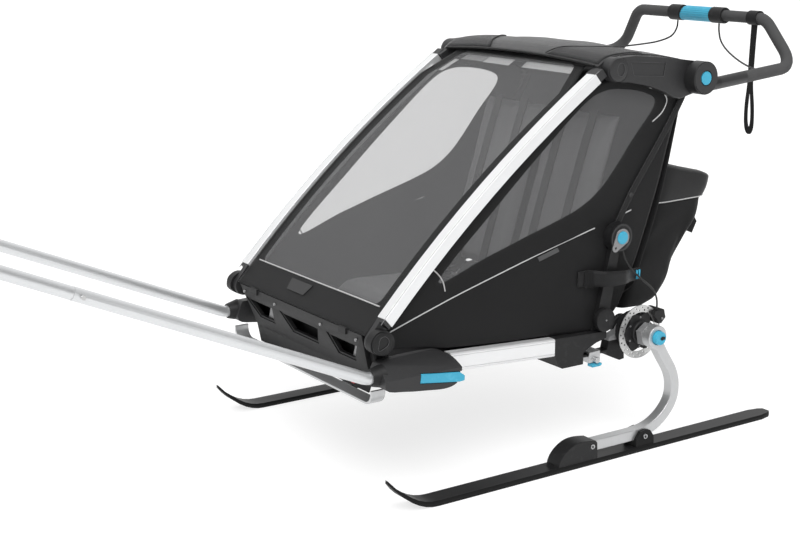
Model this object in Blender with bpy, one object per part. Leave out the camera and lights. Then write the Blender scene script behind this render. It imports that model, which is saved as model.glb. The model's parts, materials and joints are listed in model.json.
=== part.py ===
"""Two-seat child trailer on skis: folding frame, soft cabin, sprung hubs, C-struts and tow poles.

Design frame: +X is the trailer's left, -Y its front, +Z up, the floor is z = 0, the hub axis y = 0.
Everything hangs on one empty that moves the middle of the length to the origin.
"""
import math

import bmesh
import bpy
from mathutils import Matrix, Vector

# Clearances
seat_gap = 0.0003            # two faces that touch
pin_clearance = 0.0006       # radius between a pin and its bore
tube_clearance = 0.0008      # radius between a tube and its socket
weld = 0.002                 # overlap of two shapes that are one piece
cut_margin = 0.010           # how far a cutter reaches past the face it cuts

# Hubs, brake and suspension
hub_z = 0.2895
axle_radius = 0.010
hub_body_radius = 0.020
arm_head_radius = 0.019
spider_radius = 0.053
rotor_radius = 0.070
rotor_inner_radius = 0.050
rotor_thickness = 0.0024
backing_radius = 0.048
backing_x = 0.3270
backing_thickness = 0.0115
caliper_outer_x = 0.3800
spider_x = 0.3620
spider_thickness = 0.0025
leaf_pivot = (-0.186, 0.2350)
leaf_inner_x = 0.2945
leaf_width = 0.027
leaf_thickness = 0.006
wedge_inset = 0.002
leaf_slope = 0.030
leaf_eye_radius = 0.0095
leaf_pin_radius = 0.005
clamp_length = 0.036
clamp_front_y = -0.133
clamp_drop = 0.0200
clamp_wall = 0.0056
knob_radius = 0.0075
knob_length = 0.012

# Skis and struts
ski_x = 0.420
ski_width = 0.058
ski_thickness = 0.012
ski_tail_y = 0.430
ski_flat_front_y = -0.687
ski_tip_y = -0.813
ski_tip_rise = 0.072
strut_thickness = 0.028
strut_width = 0.0275
strut_inner_x = 0.406
strut_foot_z = 0.042
strut_foot_front_y = -0.290
strut_ring_radius = 0.0300
cap_radius = 0.0175
cap_reach = 0.0125
key_radius = 0.031
key_width = 0.020
front_shoe_y = (-0.342, -0.203)
front_shoe_top = 0.078
rear_shoe_y = (-0.070, -0.008)
rear_shoe_top = 0.054
shoe_half_width = 0.023
shoe_bolt_radius = 0.0055
shoe_bolt_head = 0.003
channel_slack = 0.0006

# Lower frame
rail_inner_x = 0.318
rail_width = 0.028
rail_height = 0.0455
rail_rear_y = -0.2635
rail_rear_top = 0.3070
rail_slope = -0.0545
rail_front_y = -0.5830
pan_front_y = -0.7420
pan_thickness = 0.008
pan_lip = 0.010
pan_lip_height = 0.030
beam_rear_y = -0.095
beam_clevis_y = -0.170
beam_bottom = 0.226
beam_top_rear = 0.3005
clevis_slack = 0.004

# Front end
bumper_y = -0.800
bumper_thickness = 0.014
bumper_half_width = 0.296
bumper_bottom = 0.262
bumper_top = 0.391
bumper_lip = 0.014
cheek_thickness = 0.0148
window_top = 0.353
window_bottom = 0.306
window_slope = 0.024
middle_window_half = 0.085
side_window_x = 0.205
side_window_half = 0.060
guard_y = (-0.800, -0.758)
guard_overhang = 0.018
guard_thickness = 0.005
guard_bottom = 0.229
guard_leg_top = 0.2675
guard_bend = 0.020
bracket_outer_x = 0.392
bracket_front_y = -0.765
bracket_top = 0.338
latch_y = (-0.693, -0.586)
latch_z = (0.272, 0.300)
latch_thickness = 0.006
latch_slack = 0.002
bracket_recess = (0.366, -0.640)
bracket_recess_radius = 0.014
bracket_recess_depth = 0.005

# Tow poles
pole_x = 0.350
pole_z = 0.3055
pole_radius = 0.015
pole_inner_y = -0.602
pole_end_gap = 0.003
pole_bend_y = -0.822
pole_bend_radius = 0.055
pole_rise = math.radians(23.4)
pole_toe_in = math.radians(2.5)
pole_rear_length = 0.735
pole_front_length = 0.760
pole_front_radius = 0.0145
spigot_radius = 0.0120
spigot_length = 0.070
spigot_end_gap = 0.002
pole_pin_back = 0.018
pole_pin_radius = 0.003
pole_tip_length = 0.040
pole_tip_radius = 0.0116

# Folding frame: front pivot, top pivot, knee, rear pivot and handlebar pivot as (y, z)
front_pivot = (-0.778, 0.379)
top_pivot = (-0.090, 0.962)
knee = (-0.063, 0.542)
rear_pivot = (-0.105, 0.333)
handle_pivot = (0.174, 0.929)
pivot_pin_radius = 0.007
front_disc_radius = 0.033
rear_disc_radius = 0.030
bar_inner_x = 0.313
bar_width = 0.034
bar_depth = 0.0275
bar_rear_offset = 0.003
bar_bow = 0.030
bar_start = 0.045
bar_end = 0.845
socket_inset = 0.002
tongue_inner_x = 0.3050
tongue_thickness = 0.0170
lower_tongue_thickness = 0.0160
top_bar_radius = 0.012
side_bracket_x = 0.3225
side_bracket_thickness = 0.0275
side_bracket_end_radius = 0.040
rear_tube_x = 0.299
rear_tube_radius = 0.011
leg_inner_x = 0.3268
leg_thickness = 0.014
leg_half_width = 0.0135
leg_eye_radius = 0.020
knuckle_radius = 0.036
knuckle_outer_x = 0.355
knee_disc_radius = 0.0165
knee_disc_thickness = 0.0045
tab_reach = 0.036

# Handlebar
handle_tube_radius = 0.016
handle_hub_radius = 0.042
handle_hub_x = (0.3503, 0.3860)
handle_tube_x = 0.3690
handle_bend = (0.335, 0.551, 0.934)
handle_corner = (0.248, 0.529, 1.056)
handle_bend_radius = 0.050
handle_button_radius = 0.0170
handle_button_depth = 0.006
grip_x = (-0.060, 0.055)
grip_radius = 0.0210
housing_length = 0.046
housing_radius = 0.0225
strap_x = 0.211
strap_width = 0.022
strap_bottom = 0.737
cable_radius = 0.0025

# Soft parts
panel_inner_x = 0.3220
panel_thickness = 0.0045
fabric = 0.004
cover_half_width = 0.3127
cover_setback = 0.007
cover_end = 0.862
cover_shoulder_z = 0.905
cover_taper = 0.75
roof_half_width = 0.3219
roof_crown = 0.012
bag_half_width = 0.285
bag_side_round = 0.014
bag_gap = 0.001
seat_side_gap = 0.035
seat_split = 0.012
seat_back_thickness = 0.030
seat_web = 0.008
harness_width = 0.028
harness_thickness = 0.003
harness_spread = 0.055
lap_half_width = 0.070
buckle_half_width = 0.024


def unit(y, z):
    length = math.hypot(y, z)
    return (y / length, z / length)


leaf_outer_x = leaf_inner_x + leaf_width
lower_tongue_outer = bar_inner_x + lower_tongue_thickness
guard_half_width = rail_inner_x + guard_overhang
seat_half_width = rail_inner_x - seat_side_gap
fold_chord = math.dist(front_pivot, top_pivot)
fold_dir = unit(top_pivot[0] - front_pivot[0], top_pivot[1] - front_pivot[1])
pole_dir = Vector((
    -math.cos(pole_rise) * math.sin(pole_toe_in),
    -math.cos(pole_rise) * math.cos(pole_toe_in),
    math.sin(pole_rise),
))
pole_bend = Vector((pole_x, pole_bend_y, pole_z))
pole_split = pole_bend + pole_dir * pole_rear_length
pole_tip = pole_split + pole_dir * (pole_front_length + pole_tip_length)

finishes = {
    "silver": ((0.80, 0.80, 0.81), 0.30, 0.95),
    "steel": ((0.55, 0.55, 0.56), 0.28, 1.0),
    "grey_cast": ((0.30, 0.30, 0.31), 0.45, 0.8),
    "black_plastic": ((0.030, 0.030, 0.032), 0.45, 0.0),
    "grip_foam": ((0.075, 0.075, 0.078), 0.85, 0.0),
    "blue": ((0.08, 0.42, 0.58), 0.35, 0.0),
    "black_fabric": ((0.018, 0.018, 0.019), 0.9, 0.0),
    "window": ((0.20, 0.20, 0.20), 0.25, 0.0),
    "grey_fabric": ((0.16, 0.16, 0.16), 0.9, 0.0),
    "ski_black": ((0.020, 0.020, 0.021), 0.35, 0.0),
    "cable": ((0.012, 0.012, 0.012), 0.5, 0.0),
}


def clear_scene():
    for item in list(bpy.data.objects):
        bpy.data.objects.remove(item, do_unlink=True)


def finish_material(name):
    found = bpy.data.materials.get(name)
    if found:
        return found
    colour, roughness, metallic = finishes[name]
    made = bpy.data.materials.new(name)
    made.use_nodes = True
    shader = made.node_tree.nodes["Principled BSDF"]
    shader.inputs["Base Color"].default_value = (*colour, 1.0)
    shader.inputs["Roughness"].default_value = roughness
    shader.inputs["Metallic"].default_value = metallic
    return made


# Outlines in the (y, z) plane

def arc(centre, radius, start, end, steps):
    """Points of an arc, angles in degrees from +Y towards +Z, both ends included."""
    points = []
    for i in range(steps + 1):
        angle = math.radians(start + (end - start) * i / steps)
        points.append((centre[0] + radius * math.cos(angle), centre[1] + radius * math.sin(angle)))
    return points


def circle(centre, radius, sides=24):
    return arc(centre, radius, 0, 360, sides)[:-1]


def along_bar(distance, offset):
    """A point at a distance from the front pivot towards the top pivot, offset to the front."""
    return (front_pivot[0] + fold_dir[0] * distance - fold_dir[1] * offset,
            front_pivot[1] + fold_dir[1] * distance + fold_dir[0] * offset)


def bar_rear_line(distance):
    """Offset of the side bar's rear edge from the line of pivots: a gentle bow."""
    share = distance / fold_chord
    return bar_rear_offset + 4 * bar_bow * share * (1 - share)


def bar_line(start, end, extra, steps=10):
    """Points along the bowed side bar, at an extra offset from its rear edge."""
    points = []
    for i in range(steps + 1):
        distance = start + (end - start) * i / steps
        points.append(along_bar(distance, bar_rear_line(distance) + extra))
    return points


def socket_edges(start, end):
    """The four corners of a socket's stretch of the side bar's line, set in at both edges."""
    return bar_line(start, end, socket_inset, 1) + bar_line(end, start, bar_depth - socket_inset, 1)


def offset_line(points, distance):
    """An open line of points moved sideways to its left."""
    moved = []
    for i, point in enumerate(points):
        before = points[max(i - 1, 0)]
        after = points[min(i + 1, len(points) - 1)]
        along = unit(after[0] - before[0], after[1] - before[1])
        moved.append((point[0] - along[1] * distance, point[1] + along[0] * distance))
    return moved


def strip(points, thickness):
    """A closed outline of one thickness along an open line, to the line's left."""
    return points + offset_line(points, thickness)[::-1]


def link(first, first_radius, second, second_radius, steps=8):
    """Outline of a bar with round ends of two radii."""
    heading = math.degrees(math.atan2(second[1] - first[1], second[0] - first[0]))
    return (arc(first, first_radius, heading + 90, heading + 270, steps)
            + arc(second, second_radius, heading - 90, heading + 90, steps))


# Solids

def skin(bm, rings):
    """A closed solid through equal rings of 3-D points, capped at both ends."""
    loops = [[bm.verts.new(point) for point in ring] for ring in rings]
    count = len(loops[0])
    for near, far in zip(loops, loops[1:]):
        for i in range(count):
            j = (i + 1) % count
            bm.faces.new((near[i], near[j], far[j], far[i]))
    bm.faces.new(loops[0][::-1])
    bm.faces.new(loops[-1])


def slab(bm, outline, x0, x1):
    """A (y, z) outline extruded along X."""
    skin(bm, [[(x, y, z) for y, z in outline] for x in (x0, x1)])


def slab_y(bm, outline, y0, y1):
    """An (x, z) outline extruded along Y."""
    skin(bm, [[(x, y, z) for x, z in outline] for y in (y0, y1)])


def block(bm, x, y, z):
    slab(bm, [(y[0], z[0]), (y[1], z[0]), (y[1], z[1]), (y[0], z[1])], x[0], x[1])


def rod(bm, start, end, radius, sides=16):
    """A round bar between two points."""
    start = Vector(start)
    end = Vector(end)
    frame = (end - start).to_track_quat("Z", "Y").to_matrix()
    ring = []
    for i in range(sides):
        angle = 2 * math.pi * i / sides
        ring.append(frame @ Vector((radius * math.cos(angle), radius * math.sin(angle), 0)))
    skin(bm, [[start + p for p in ring], [end + p for p in ring]])


def tube(bm, path, radius, sides=12):
    """A round bar along a path, its rings carried without twist."""
    points = [Vector(p) for p in path]
    rings = []
    heading = (points[1] - points[0]).normalized()
    side = heading.orthogonal().normalized()
    for i, point in enumerate(points):
        before = points[max(i - 1, 0)]
        after = points[min(i + 1, len(points) - 1)]
        turned_heading = (after - before).normalized()
        side = heading.rotation_difference(turned_heading) @ side
        heading = turned_heading
        other = heading.cross(side)
        ring = []
        for j in range(sides):
            angle = 2 * math.pi * j / sides
            ring.append(point + side * (radius * math.cos(angle)) + other * (radius * math.sin(angle)))
        rings.append(ring)
    skin(bm, rings)


def turned(bm, profile, centre, sides=24):
    """A closed (radius, x) profile spun about an X axis through a (y, z) centre."""
    loops = []
    for i in range(sides):
        angle = 2 * math.pi * i / sides
        loops.append([
            bm.verts.new((x, centre[0] + r * math.cos(angle), centre[1] + r * math.sin(angle)))
            for r, x in profile
        ])
    count = len(profile)
    for i in range(sides):
        near = loops[i]
        far = loops[(i + 1) % sides]
        for a in range(count):
            b = (a + 1) % count
            bm.faces.new((near[a], near[b], far[b], far[a]))


def round_path(corners, radii, steps=6):
    """Corner points with each inner corner replaced by an arc of its radius."""
    points = [Vector(corners[0])]
    for i in range(1, len(corners) - 1):
        corner = Vector(corners[i])
        back = (Vector(corners[i - 1]) - corner).normalized()
        ahead = (Vector(corners[i + 1]) - corner).normalized()
        half = back.angle(ahead) / 2
        radius = radii[i - 1]
        centre = corner + (back + ahead).normalized() * (radius / math.sin(half))
        first = corner + back * (radius / math.tan(half)) - centre
        turn = math.pi - 2 * half
        axis = back.cross(ahead).normalized()
        for j in range(steps + 1):
            points.append(centre + Matrix.Rotation(-turn * j / steps, 3, axis) @ first)
    points.append(Vector(corners[-1]))
    return points


def smooth_route(points, steps=4):
    """A smooth curve through a cord's own points (Catmull-Rom)."""
    route = [Vector(p) for p in points]
    ends = [route[0] * 2 - route[1]] + route + [route[-1] * 2 - route[-2]]
    smooth = []
    for a, b, c, d in zip(ends, ends[1:], ends[2:], ends[3:]):
        for i in range(steps):
            t = i / steps
            smooth.append(0.5 * ((2 * b) + (c - a) * t + (2 * a - 5 * b + 4 * c - d) * t ** 2
                                 + (3 * b - a - 3 * c + d) * t ** 3))
    smooth.append(route[-1])
    return smooth


def handle_path():
    """The handlebar tube's centre line from its left hub over the crossbar to its right hub."""
    start = (handle_tube_x, handle_pivot[0] + 0.018, handle_pivot[1] - 0.021)
    corners = [start, handle_bend, handle_corner]
    corners += [(-x, y, z) for x, y, z in reversed(corners)]
    return round_path(corners, [handle_bend_radius] * 4)


def length_middle():
    """Y of the middle between the poles' front ends and the handlebar's rear."""
    front = pole_tip.y - pole_tip_radius * math.sin(pole_rise)
    rear = max(p[1] for p in handle_path()) + handle_tube_radius
    return (front + rear) / 2


# Objects

class Workshop:
    """Makes the named objects and keeps the empty that carries them."""

    def __init__(self):
        self.base = bpy.data.objects.new("trailer_origin", None)
        self.base.location = (0, -length_middle(), 0)
        bpy.context.scene.collection.objects.link(self.base)

    def add(self, name, bm, finish, origin=(0, 0, 0)):
        """One named object from a bmesh in the design frame, its origin on its joint's axis."""
        bmesh.ops.recalc_face_normals(bm, faces=bm.faces[:])
        mesh = bpy.data.meshes.new(name)
        bm.to_mesh(mesh)
        bm.free()
        mesh.transform(Matrix.Translation(-Vector(origin)))
        mesh.shade_smooth()
        mesh.set_sharp_from_angle(angle=math.radians(35))
        item = bpy.data.objects.new(name, mesh)
        item.location = origin
        item.parent = self.base
        if finish:
            mesh.materials.append(finish_material(finish))
        bpy.context.scene.collection.objects.link(item)
        return item

    def cord(self, name, points, radius, finish, origin):
        """A cord as a round curve through its points, closed at both ends."""
        curve = bpy.data.curves.new(name, "CURVE")
        curve.dimensions = "3D"
        curve.bevel_depth = radius
        curve.bevel_resolution = 2
        curve.use_fill_caps = True
        spline = curve.splines.new("POLY")
        spline.points.add(len(points) - 1)
        for point, place in zip(spline.points, points):
            point.co = (*(place - Vector(origin)), 1)
        curve.materials.append(finish_material(finish))
        item = bpy.data.objects.new(name, curve)
        item.location = origin
        item.parent = self.base
        bpy.context.scene.collection.objects.link(item)

    def tool(self, target, bm, operation):
        """Cuts a bmesh out of an object, or joins it on, with a hidden helper."""
        count = len(target.modifiers)
        helper = self.add(f"{target.name}_tool_{count}", bm, None)
        helper.hide_render = True
        helper.display_type = "WIRE"
        modifier = target.modifiers.new(f"{operation.lower()}_{count}", "BOOLEAN")
        modifier.operation = operation
        modifier.solver = "EXACT"
        modifier.object = helper

    def cut(self, target, bm):
        self.tool(target, bm, "DIFFERENCE")

    def join(self, target, bm):
        self.tool(target, bm, "UNION")


def sides():
    return (("left", 1), ("right", -1))


def x_span(side, low, high):
    """An X span on one side, low end first."""
    return (low, high) if side > 0 else (-high, -low)


def rail_top(y):
    return rail_rear_top + rail_slope * (y - rail_rear_y)


def pan_top(y):
    return rail_top(y) - rail_height + pan_thickness


def make_lower_frame(shop):
    """Floor pan, side rails and the rear beam that the suspension and the legs hang on."""
    bm = bmesh.new()
    half = rail_inner_x - seat_gap
    wall = half - pan_lip
    rings = []
    for y in (pan_front_y, rail_rear_y + seat_gap):
        base = pan_top(y) - pan_thickness
        floor = base + pan_thickness
        lip = base + pan_lip_height
        profile = [(-half, base), (half, base), (half, lip), (wall, lip), (wall, floor),
                   (-wall, floor), (-wall, lip), (-half, lip)]
        rings.append([(x, y, z) for x, z in profile])
    skin(bm, rings)
    shop.add("floor_pan", bm, "black_plastic")

    front = rail_front_y + seat_gap
    outline = [(front, rail_top(front) - rail_height), (rail_rear_y, rail_rear_top - rail_height),
               (rail_rear_y, rail_rear_top), (front, rail_top(front))]
    for name, side in sides():
        bm = bmesh.new()
        slab(bm, outline, *x_span(side, rail_inner_x, rail_inner_x + rail_width))
        edges = [e for e in bm.edges if abs(e.verts[0].co.y - e.verts[1].co.y) > 0.1]
        bmesh.ops.bevel(bm, geom=edges, offset=0.004, segments=2, profile=0.5, affect="EDGES")
        shop.add(f"side_rail_{name}", bm, "silver")

    bm = bmesh.new()
    outer = rail_inner_x + rail_width
    front = rail_rear_y + 2 * seat_gap
    outline = [(front, rail_rear_top - rail_height), (-0.250, beam_bottom + 0.006),
               (-0.238, beam_bottom), (beam_clevis_y, beam_bottom), (beam_clevis_y, 0.255),
               (-0.160, 0.262), (-0.128, 0.276), (beam_rear_y, 0.283), (beam_rear_y, beam_top_rear),
               (front, rail_rear_top)]
    slab(bm, outline, -outer, outer)
    beam = shop.add("rear_crossmember", bm, "black_plastic")
    slot = (leaf_inner_x - clevis_slack, leaf_outer_x + clevis_slack)
    for name, side in sides():
        bm = bmesh.new()
        block(bm, x_span(side, *slot),
              (leaf_pivot[0] - leaf_eye_radius - clevis_slack, beam_clevis_y + cut_margin),
              (beam_bottom - cut_margin, leaf_pivot[1] + leaf_eye_radius + clevis_slack))
        shop.cut(beam, bm)
        bm = bmesh.new()
        slab(bm, circle(leaf_pivot, leaf_pin_radius, 16),
             *x_span(side, slot[0] - 0.001, slot[1] + 0.001))
        shop.join(beam, bm)

    # The fixed half of each rear pivot: a lug on the beam, a pin and an outer disc
    lug_outer = leg_inner_x - seat_gap
    leg_outer = leg_inner_x + leg_thickness
    for name, side in sides():
        bm = bmesh.new()
        lug = [(-0.132, beam_top_rear - weld), (-0.098, beam_top_rear - weld)]
        lug += arc(rear_pivot, 0.016, -20, 200, 8)
        slab(bm, lug, *x_span(side, 0.3125, lug_outer))
        shop.join(beam, bm)
        bm = bmesh.new()
        slab(bm, circle(rear_pivot, pivot_pin_radius, 16),
             *x_span(side, lug_outer - weld, leg_outer + weld))
        shop.join(beam, bm)
        bm = bmesh.new()
        slab(bm, circle(rear_pivot, rear_disc_radius, 28), *x_span(side, leg_outer + seat_gap, 0.353))
        shop.join(beam, bm)


def make_front_end(shop):
    """Bumper with three windows, guard bar, tow brackets and their latches."""
    bm = bmesh.new()
    back = bumper_y + bumper_thickness
    outline = [(bumper_y, bumper_bottom), (pan_front_y - seat_gap, bumper_bottom),
               (pan_front_y - seat_gap, bumper_bottom + bumper_lip), (back, bumper_bottom + bumper_lip),
               (back, bumper_top), (bumper_y, bumper_top)]
    slab(bm, outline, -bumper_half_width, bumper_half_width)
    bumper = shop.add("front_bumper", bm, "black_plastic")
    for middle, half in ((0.0, middle_window_half), (side_window_x, side_window_half),
                         (-side_window_x, side_window_half)):
        bm = bmesh.new()
        outline = [(middle - half + window_slope, window_bottom),
                   (middle + half - window_slope, window_bottom),
                   (middle + half, window_top), (middle - half, window_top)]
        slab_y(bm, outline, bumper_y - cut_margin, back + cut_margin)
        shop.cut(bumper, bm)
    bm = bmesh.new()
    cheek = [(back - 0.0005, bumper_bottom + 0.006), (pan_front_y - seat_gap, bumper_bottom + 0.006),
             (pan_front_y - seat_gap, 0.345), (-0.760, 0.3955), (back - 0.0005, 0.3955)]
    for name, side in sides():
        outer = bar_inner_x - 4 * seat_gap
        slab(bm, cheek, *x_span(side, outer - cheek_thickness - weld, outer))
    shop.join(bumper, bm)
    # Clips that hold the cover's hem
    for name, side in sides():
        bm = bmesh.new()
        block(bm, x_span(side, 0.200, 0.232), (bumper_y - 0.004, bumper_y + 0.004),
              (bumper_top - 0.012, bumper_top + 0.003))
        shop.join(bumper, bm)
    # The fixed half of each front pivot: a pin from the cheek and an outer disc
    for name, side in sides():
        bm = bmesh.new()
        slab(bm, circle(front_pivot, pivot_pin_radius, 16),
             *x_span(side, bar_inner_x - 2 * weld, lower_tongue_outer + weld))
        shop.join(bumper, bm)
        bm = bmesh.new()
        slab(bm, circle(front_pivot, front_disc_radius, 28),
             *x_span(side, lower_tongue_outer + 2 * seat_gap, 0.352))
        shop.join(bumper, bm)

    bm = bmesh.new()
    inner = guard_half_width - guard_thickness
    line = [(guard_half_width, guard_leg_top)]
    line += [(x, z) for x, z in arc((guard_half_width - guard_bend, guard_bottom + guard_bend),
                                    guard_bend, 0, -90, 5)]
    line += [(x, z) for x, z in arc((-guard_half_width + guard_bend, guard_bottom + guard_bend),
                                    guard_bend, -90, -180, 5)]
    line += [(-guard_half_width, guard_leg_top)]
    inner_bend = guard_bend - guard_thickness
    back_line = [(-inner, guard_leg_top)]
    back_line += [(x, z) for x, z in arc((-guard_half_width + guard_bend, guard_bottom + guard_bend),
                                         inner_bend, -180, -90, 5)]
    back_line += [(x, z) for x, z in arc((guard_half_width - guard_bend, guard_bottom + guard_bend),
                                         inner_bend, -90, 0, 5)]
    back_line += [(inner, guard_leg_top)]
    slab_y(bm, line + back_line, *guard_y)
    shop.add("guard_bar", bm, "silver")

    outline = [(bracket_front_y - 0.036, guard_leg_top + seat_gap), (-0.755, guard_leg_top + seat_gap),
               (-0.690, 0.266), (-0.640, 0.258), (-0.602, 0.262), (-0.587, 0.276),
               (rail_front_y, 0.290), (rail_front_y, 0.318), (-0.590, 0.330), (-0.606, 0.336),
               (-0.650, bracket_top), (-0.738, bracket_top), (-0.752, 0.3475),
               (bracket_front_y, 0.3475), (bracket_front_y - 0.004, 0.330),
               (bracket_front_y - 0.036, 0.284)]
    for name, side in sides():
        bm = bmesh.new()
        slab(bm, outline, *x_span(side, rail_inner_x, bracket_outer_x))
        bracket = shop.add(f"tow_bracket_{name}", bm, "black_plastic")
        bm = bmesh.new()
        rod(bm, (side * pole_x, bracket_front_y - 6 * cut_margin, pole_z),
            (side * pole_x, pole_inner_y + pole_end_gap, pole_z), pole_radius + tube_clearance, 16)
        shop.cut(bracket, bm)
        bm = bmesh.new()
        block(bm, x_span(side, bracket_outer_x - latch_thickness, bracket_outer_x + cut_margin),
              (latch_y[0] - latch_slack, rail_front_y + cut_margin),
              (latch_z[0] - latch_slack, latch_z[1] + latch_slack))
        shop.cut(bracket, bm)
        bm = bmesh.new()
        at = (side * bracket_recess[0], bracket_recess[1])
        rod(bm, (*at, bracket_top - bracket_recess_depth), (*at, bracket_top + cut_margin),
            bracket_recess_radius)
        shop.cut(bracket, bm)

        bm = bmesh.new()
        rear = latch_y[1]
        latch = [(latch_y[0], latch_z[0]), (rear, latch_z[0]), (rear + 0.012, latch_z[0] + 0.006),
                 (rear + 0.012, latch_z[1] - 0.006), (rear, latch_z[1]), (latch_y[0], latch_z[1])]
        inner = bracket_outer_x - latch_thickness + seat_gap
        slab(bm, latch, *x_span(side, inner, inner + latch_thickness))
        shop.add(f"tow_latch_{name}", bm, "blue",
                 origin=(side * (inner + latch_thickness / 2), latch_y[0], sum(latch_z) / 2))


def make_tow_poles(shop):
    """Two-piece poles: a bent rear section, a straight front section on a spigot, a ring pin."""
    for name, side in sides():
        flip = Matrix.Diagonal((side, 1, 1))
        heading = flip @ pole_dir
        split = flip @ pole_split
        start = Vector((side * pole_x, pole_inner_y, pole_z))
        bend = Vector((side * pole_x, pole_bend_y, pole_z))
        bm = bmesh.new()
        tube(bm, round_path([start, bend, split], [pole_bend_radius]), pole_radius, 16)
        rear = shop.add(f"pole_rear_{name}", bm, "silver", origin=start)
        bm = bmesh.new()
        rod(bm, split - heading * (spigot_length + spigot_end_gap), split + heading * cut_margin,
            spigot_radius + pin_clearance)
        shop.cut(rear, bm)
        pin_at = split - heading * pole_pin_back
        across = Vector((side, 0, 0))
        across = (across - heading * across.dot(heading)).normalized()
        bore = pole_pin_radius + pin_clearance
        bm = bmesh.new()
        rod(bm, pin_at - across * 0.03, pin_at + across * 0.03, bore, 12)
        shop.cut(rear, bm)

        bm = bmesh.new()
        rod(bm, split + heading * seat_gap, split + heading * pole_front_length, pole_front_radius)
        front = shop.add(f"pole_front_{name}", bm, "silver", origin=split)
        bm = bmesh.new()
        rod(bm, split - heading * spigot_length, split + heading * cut_margin, spigot_radius)
        shop.join(front, bm)
        tip = split + heading * (pole_front_length - weld)
        bm = bmesh.new()
        rod(bm, tip, flip @ pole_tip, pole_tip_radius)
        shop.join(front, bm)
        bm = bmesh.new()
        rod(bm, pin_at - across * 0.03, pin_at + across * 0.03, bore, 12)
        shop.cut(front, bm)

        bm = bmesh.new()
        reach = pole_radius + 0.004
        rod(bm, pin_at - across * reach, pin_at + across * reach, pole_pin_radius, 12)
        head = pin_at + across * reach
        pin = shop.add(f"pole_pin_{name}", bm, "steel", origin=pin_at)
        bm = bmesh.new()
        rod(bm, head - across * 0.001, head + across * 0.004, 0.0055, 12)
        shop.join(pin, bm)


def make_front_frame(shop):
    """Bowed side bars, their end sockets and the bar across the top."""
    for name, side in sides():
        bm = bmesh.new()
        outline = bar_line(bar_start, bar_end, 0) + bar_line(bar_end, bar_start, bar_depth)
        slab(bm, outline, *x_span(side, bar_inner_x, bar_inner_x + bar_width))
        shop.add(f"side_bar_{name}", bm, "silver", origin=(side * bar_inner_x, *front_pivot))

    bore = pivot_pin_radius + pin_clearance
    block_outer = bar_inner_x + bar_width - socket_inset
    for name, side in sides():
        # Lower end: a tongue round the front pivot and a block in the bar's line
        foot = bar_start - seat_gap
        low = 0.0365
        bm = bmesh.new()
        tongue = arc(front_pivot, 0.026, 130, 310, 10)
        tongue += socket_edges(foot, foot)[::2]
        slab(bm, tongue, *x_span(side, bar_inner_x, lower_tongue_outer))
        socket = shop.add(f"lower_socket_{name}", bm, "black_plastic", origin=(0, *front_pivot))
        bm = bmesh.new()
        outline = socket_edges(low, foot)
        slab(bm, outline, *x_span(side, lower_tongue_outer - 0.004, block_outer))
        shop.join(socket, bm)
        bm = bmesh.new()
        slab(bm, circle(front_pivot, bore, 16),
             *x_span(side, bar_inner_x - cut_margin, lower_tongue_outer + cut_margin))
        shop.cut(socket, bm)

    # The bar across the top with the two upper sockets: each a tongue and a block
    tongue_outer = tongue_inner_x + tongue_thickness
    bm = bmesh.new()
    end = tongue_inner_x + weld
    rod(bm, (-end, *top_pivot), (end, *top_pivot), top_bar_radius)
    top_bar = shop.add("top_front_bar", bm, "black_plastic", origin=(0, *front_pivot))
    head = bar_end + seat_gap
    high = fold_chord - side_bracket_end_radius + 0.008
    for name, side in sides():
        bm = bmesh.new()
        tongue = socket_edges(head, head)[::-2]
        tongue += arc(top_pivot, 0.023, -50, 130, 10)
        slab(bm, tongue, *x_span(side, tongue_inner_x, tongue_outer))
        shop.join(top_bar, bm)
        bm = bmesh.new()
        outline = socket_edges(head, high)
        slab(bm, outline, *x_span(side, tongue_outer - 0.004, block_outer))
        shop.join(top_bar, bm)
        bm = bmesh.new()
        slab(bm, circle(top_pivot, bore, 16), *x_span(side, tongue_inner_x + 0.004, 0.335))
        shop.cut(top_bar, bm)


def cover_line():
    """The front cover's inner face, from its lower hem to its top hem, as (y, z)."""
    extra = bar_depth - cover_setback - fabric
    hem = [(bumper_y + 0.0015, bumper_top + 0.0045), (bumper_y + 0.012, bumper_top + 0.0155)]
    return hem + bar_line(0.052, cover_end, extra, 12)


def make_front_cover(shop):
    line = cover_line()
    rings = []
    for inner, outer in zip(line, offset_line(line, fabric)):
        narrowing = max(0.0, inner[1] - cover_shoulder_z) * cover_taper
        half = cover_half_width - narrowing
        rings.append([(-half, *inner), (half, *inner), (half, *outer), (-half, *outer)])
    bm = bmesh.new()
    skin(bm, rings)
    top = line[-1]
    shop.add("front_cover", bm, "window", origin=(0, *top))


def side_bracket_outline():
    """The upper side bracket seen from the side, round at both ends."""
    nose = arc(top_pivot, 0.030, 75, 290, 10)
    under = [(-0.050, 0.9290), (0.020, 0.9150), (0.070, 0.8970), (0.104, 0.8810), (0.124, 0.8770)]
    tail = arc(handle_pivot, side_bracket_end_radius, -75, 80, 10)
    over = [(0.105, 0.9790), (0.040, 0.9860), (-0.035, 0.9930)]
    return nose + under + tail + over


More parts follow.
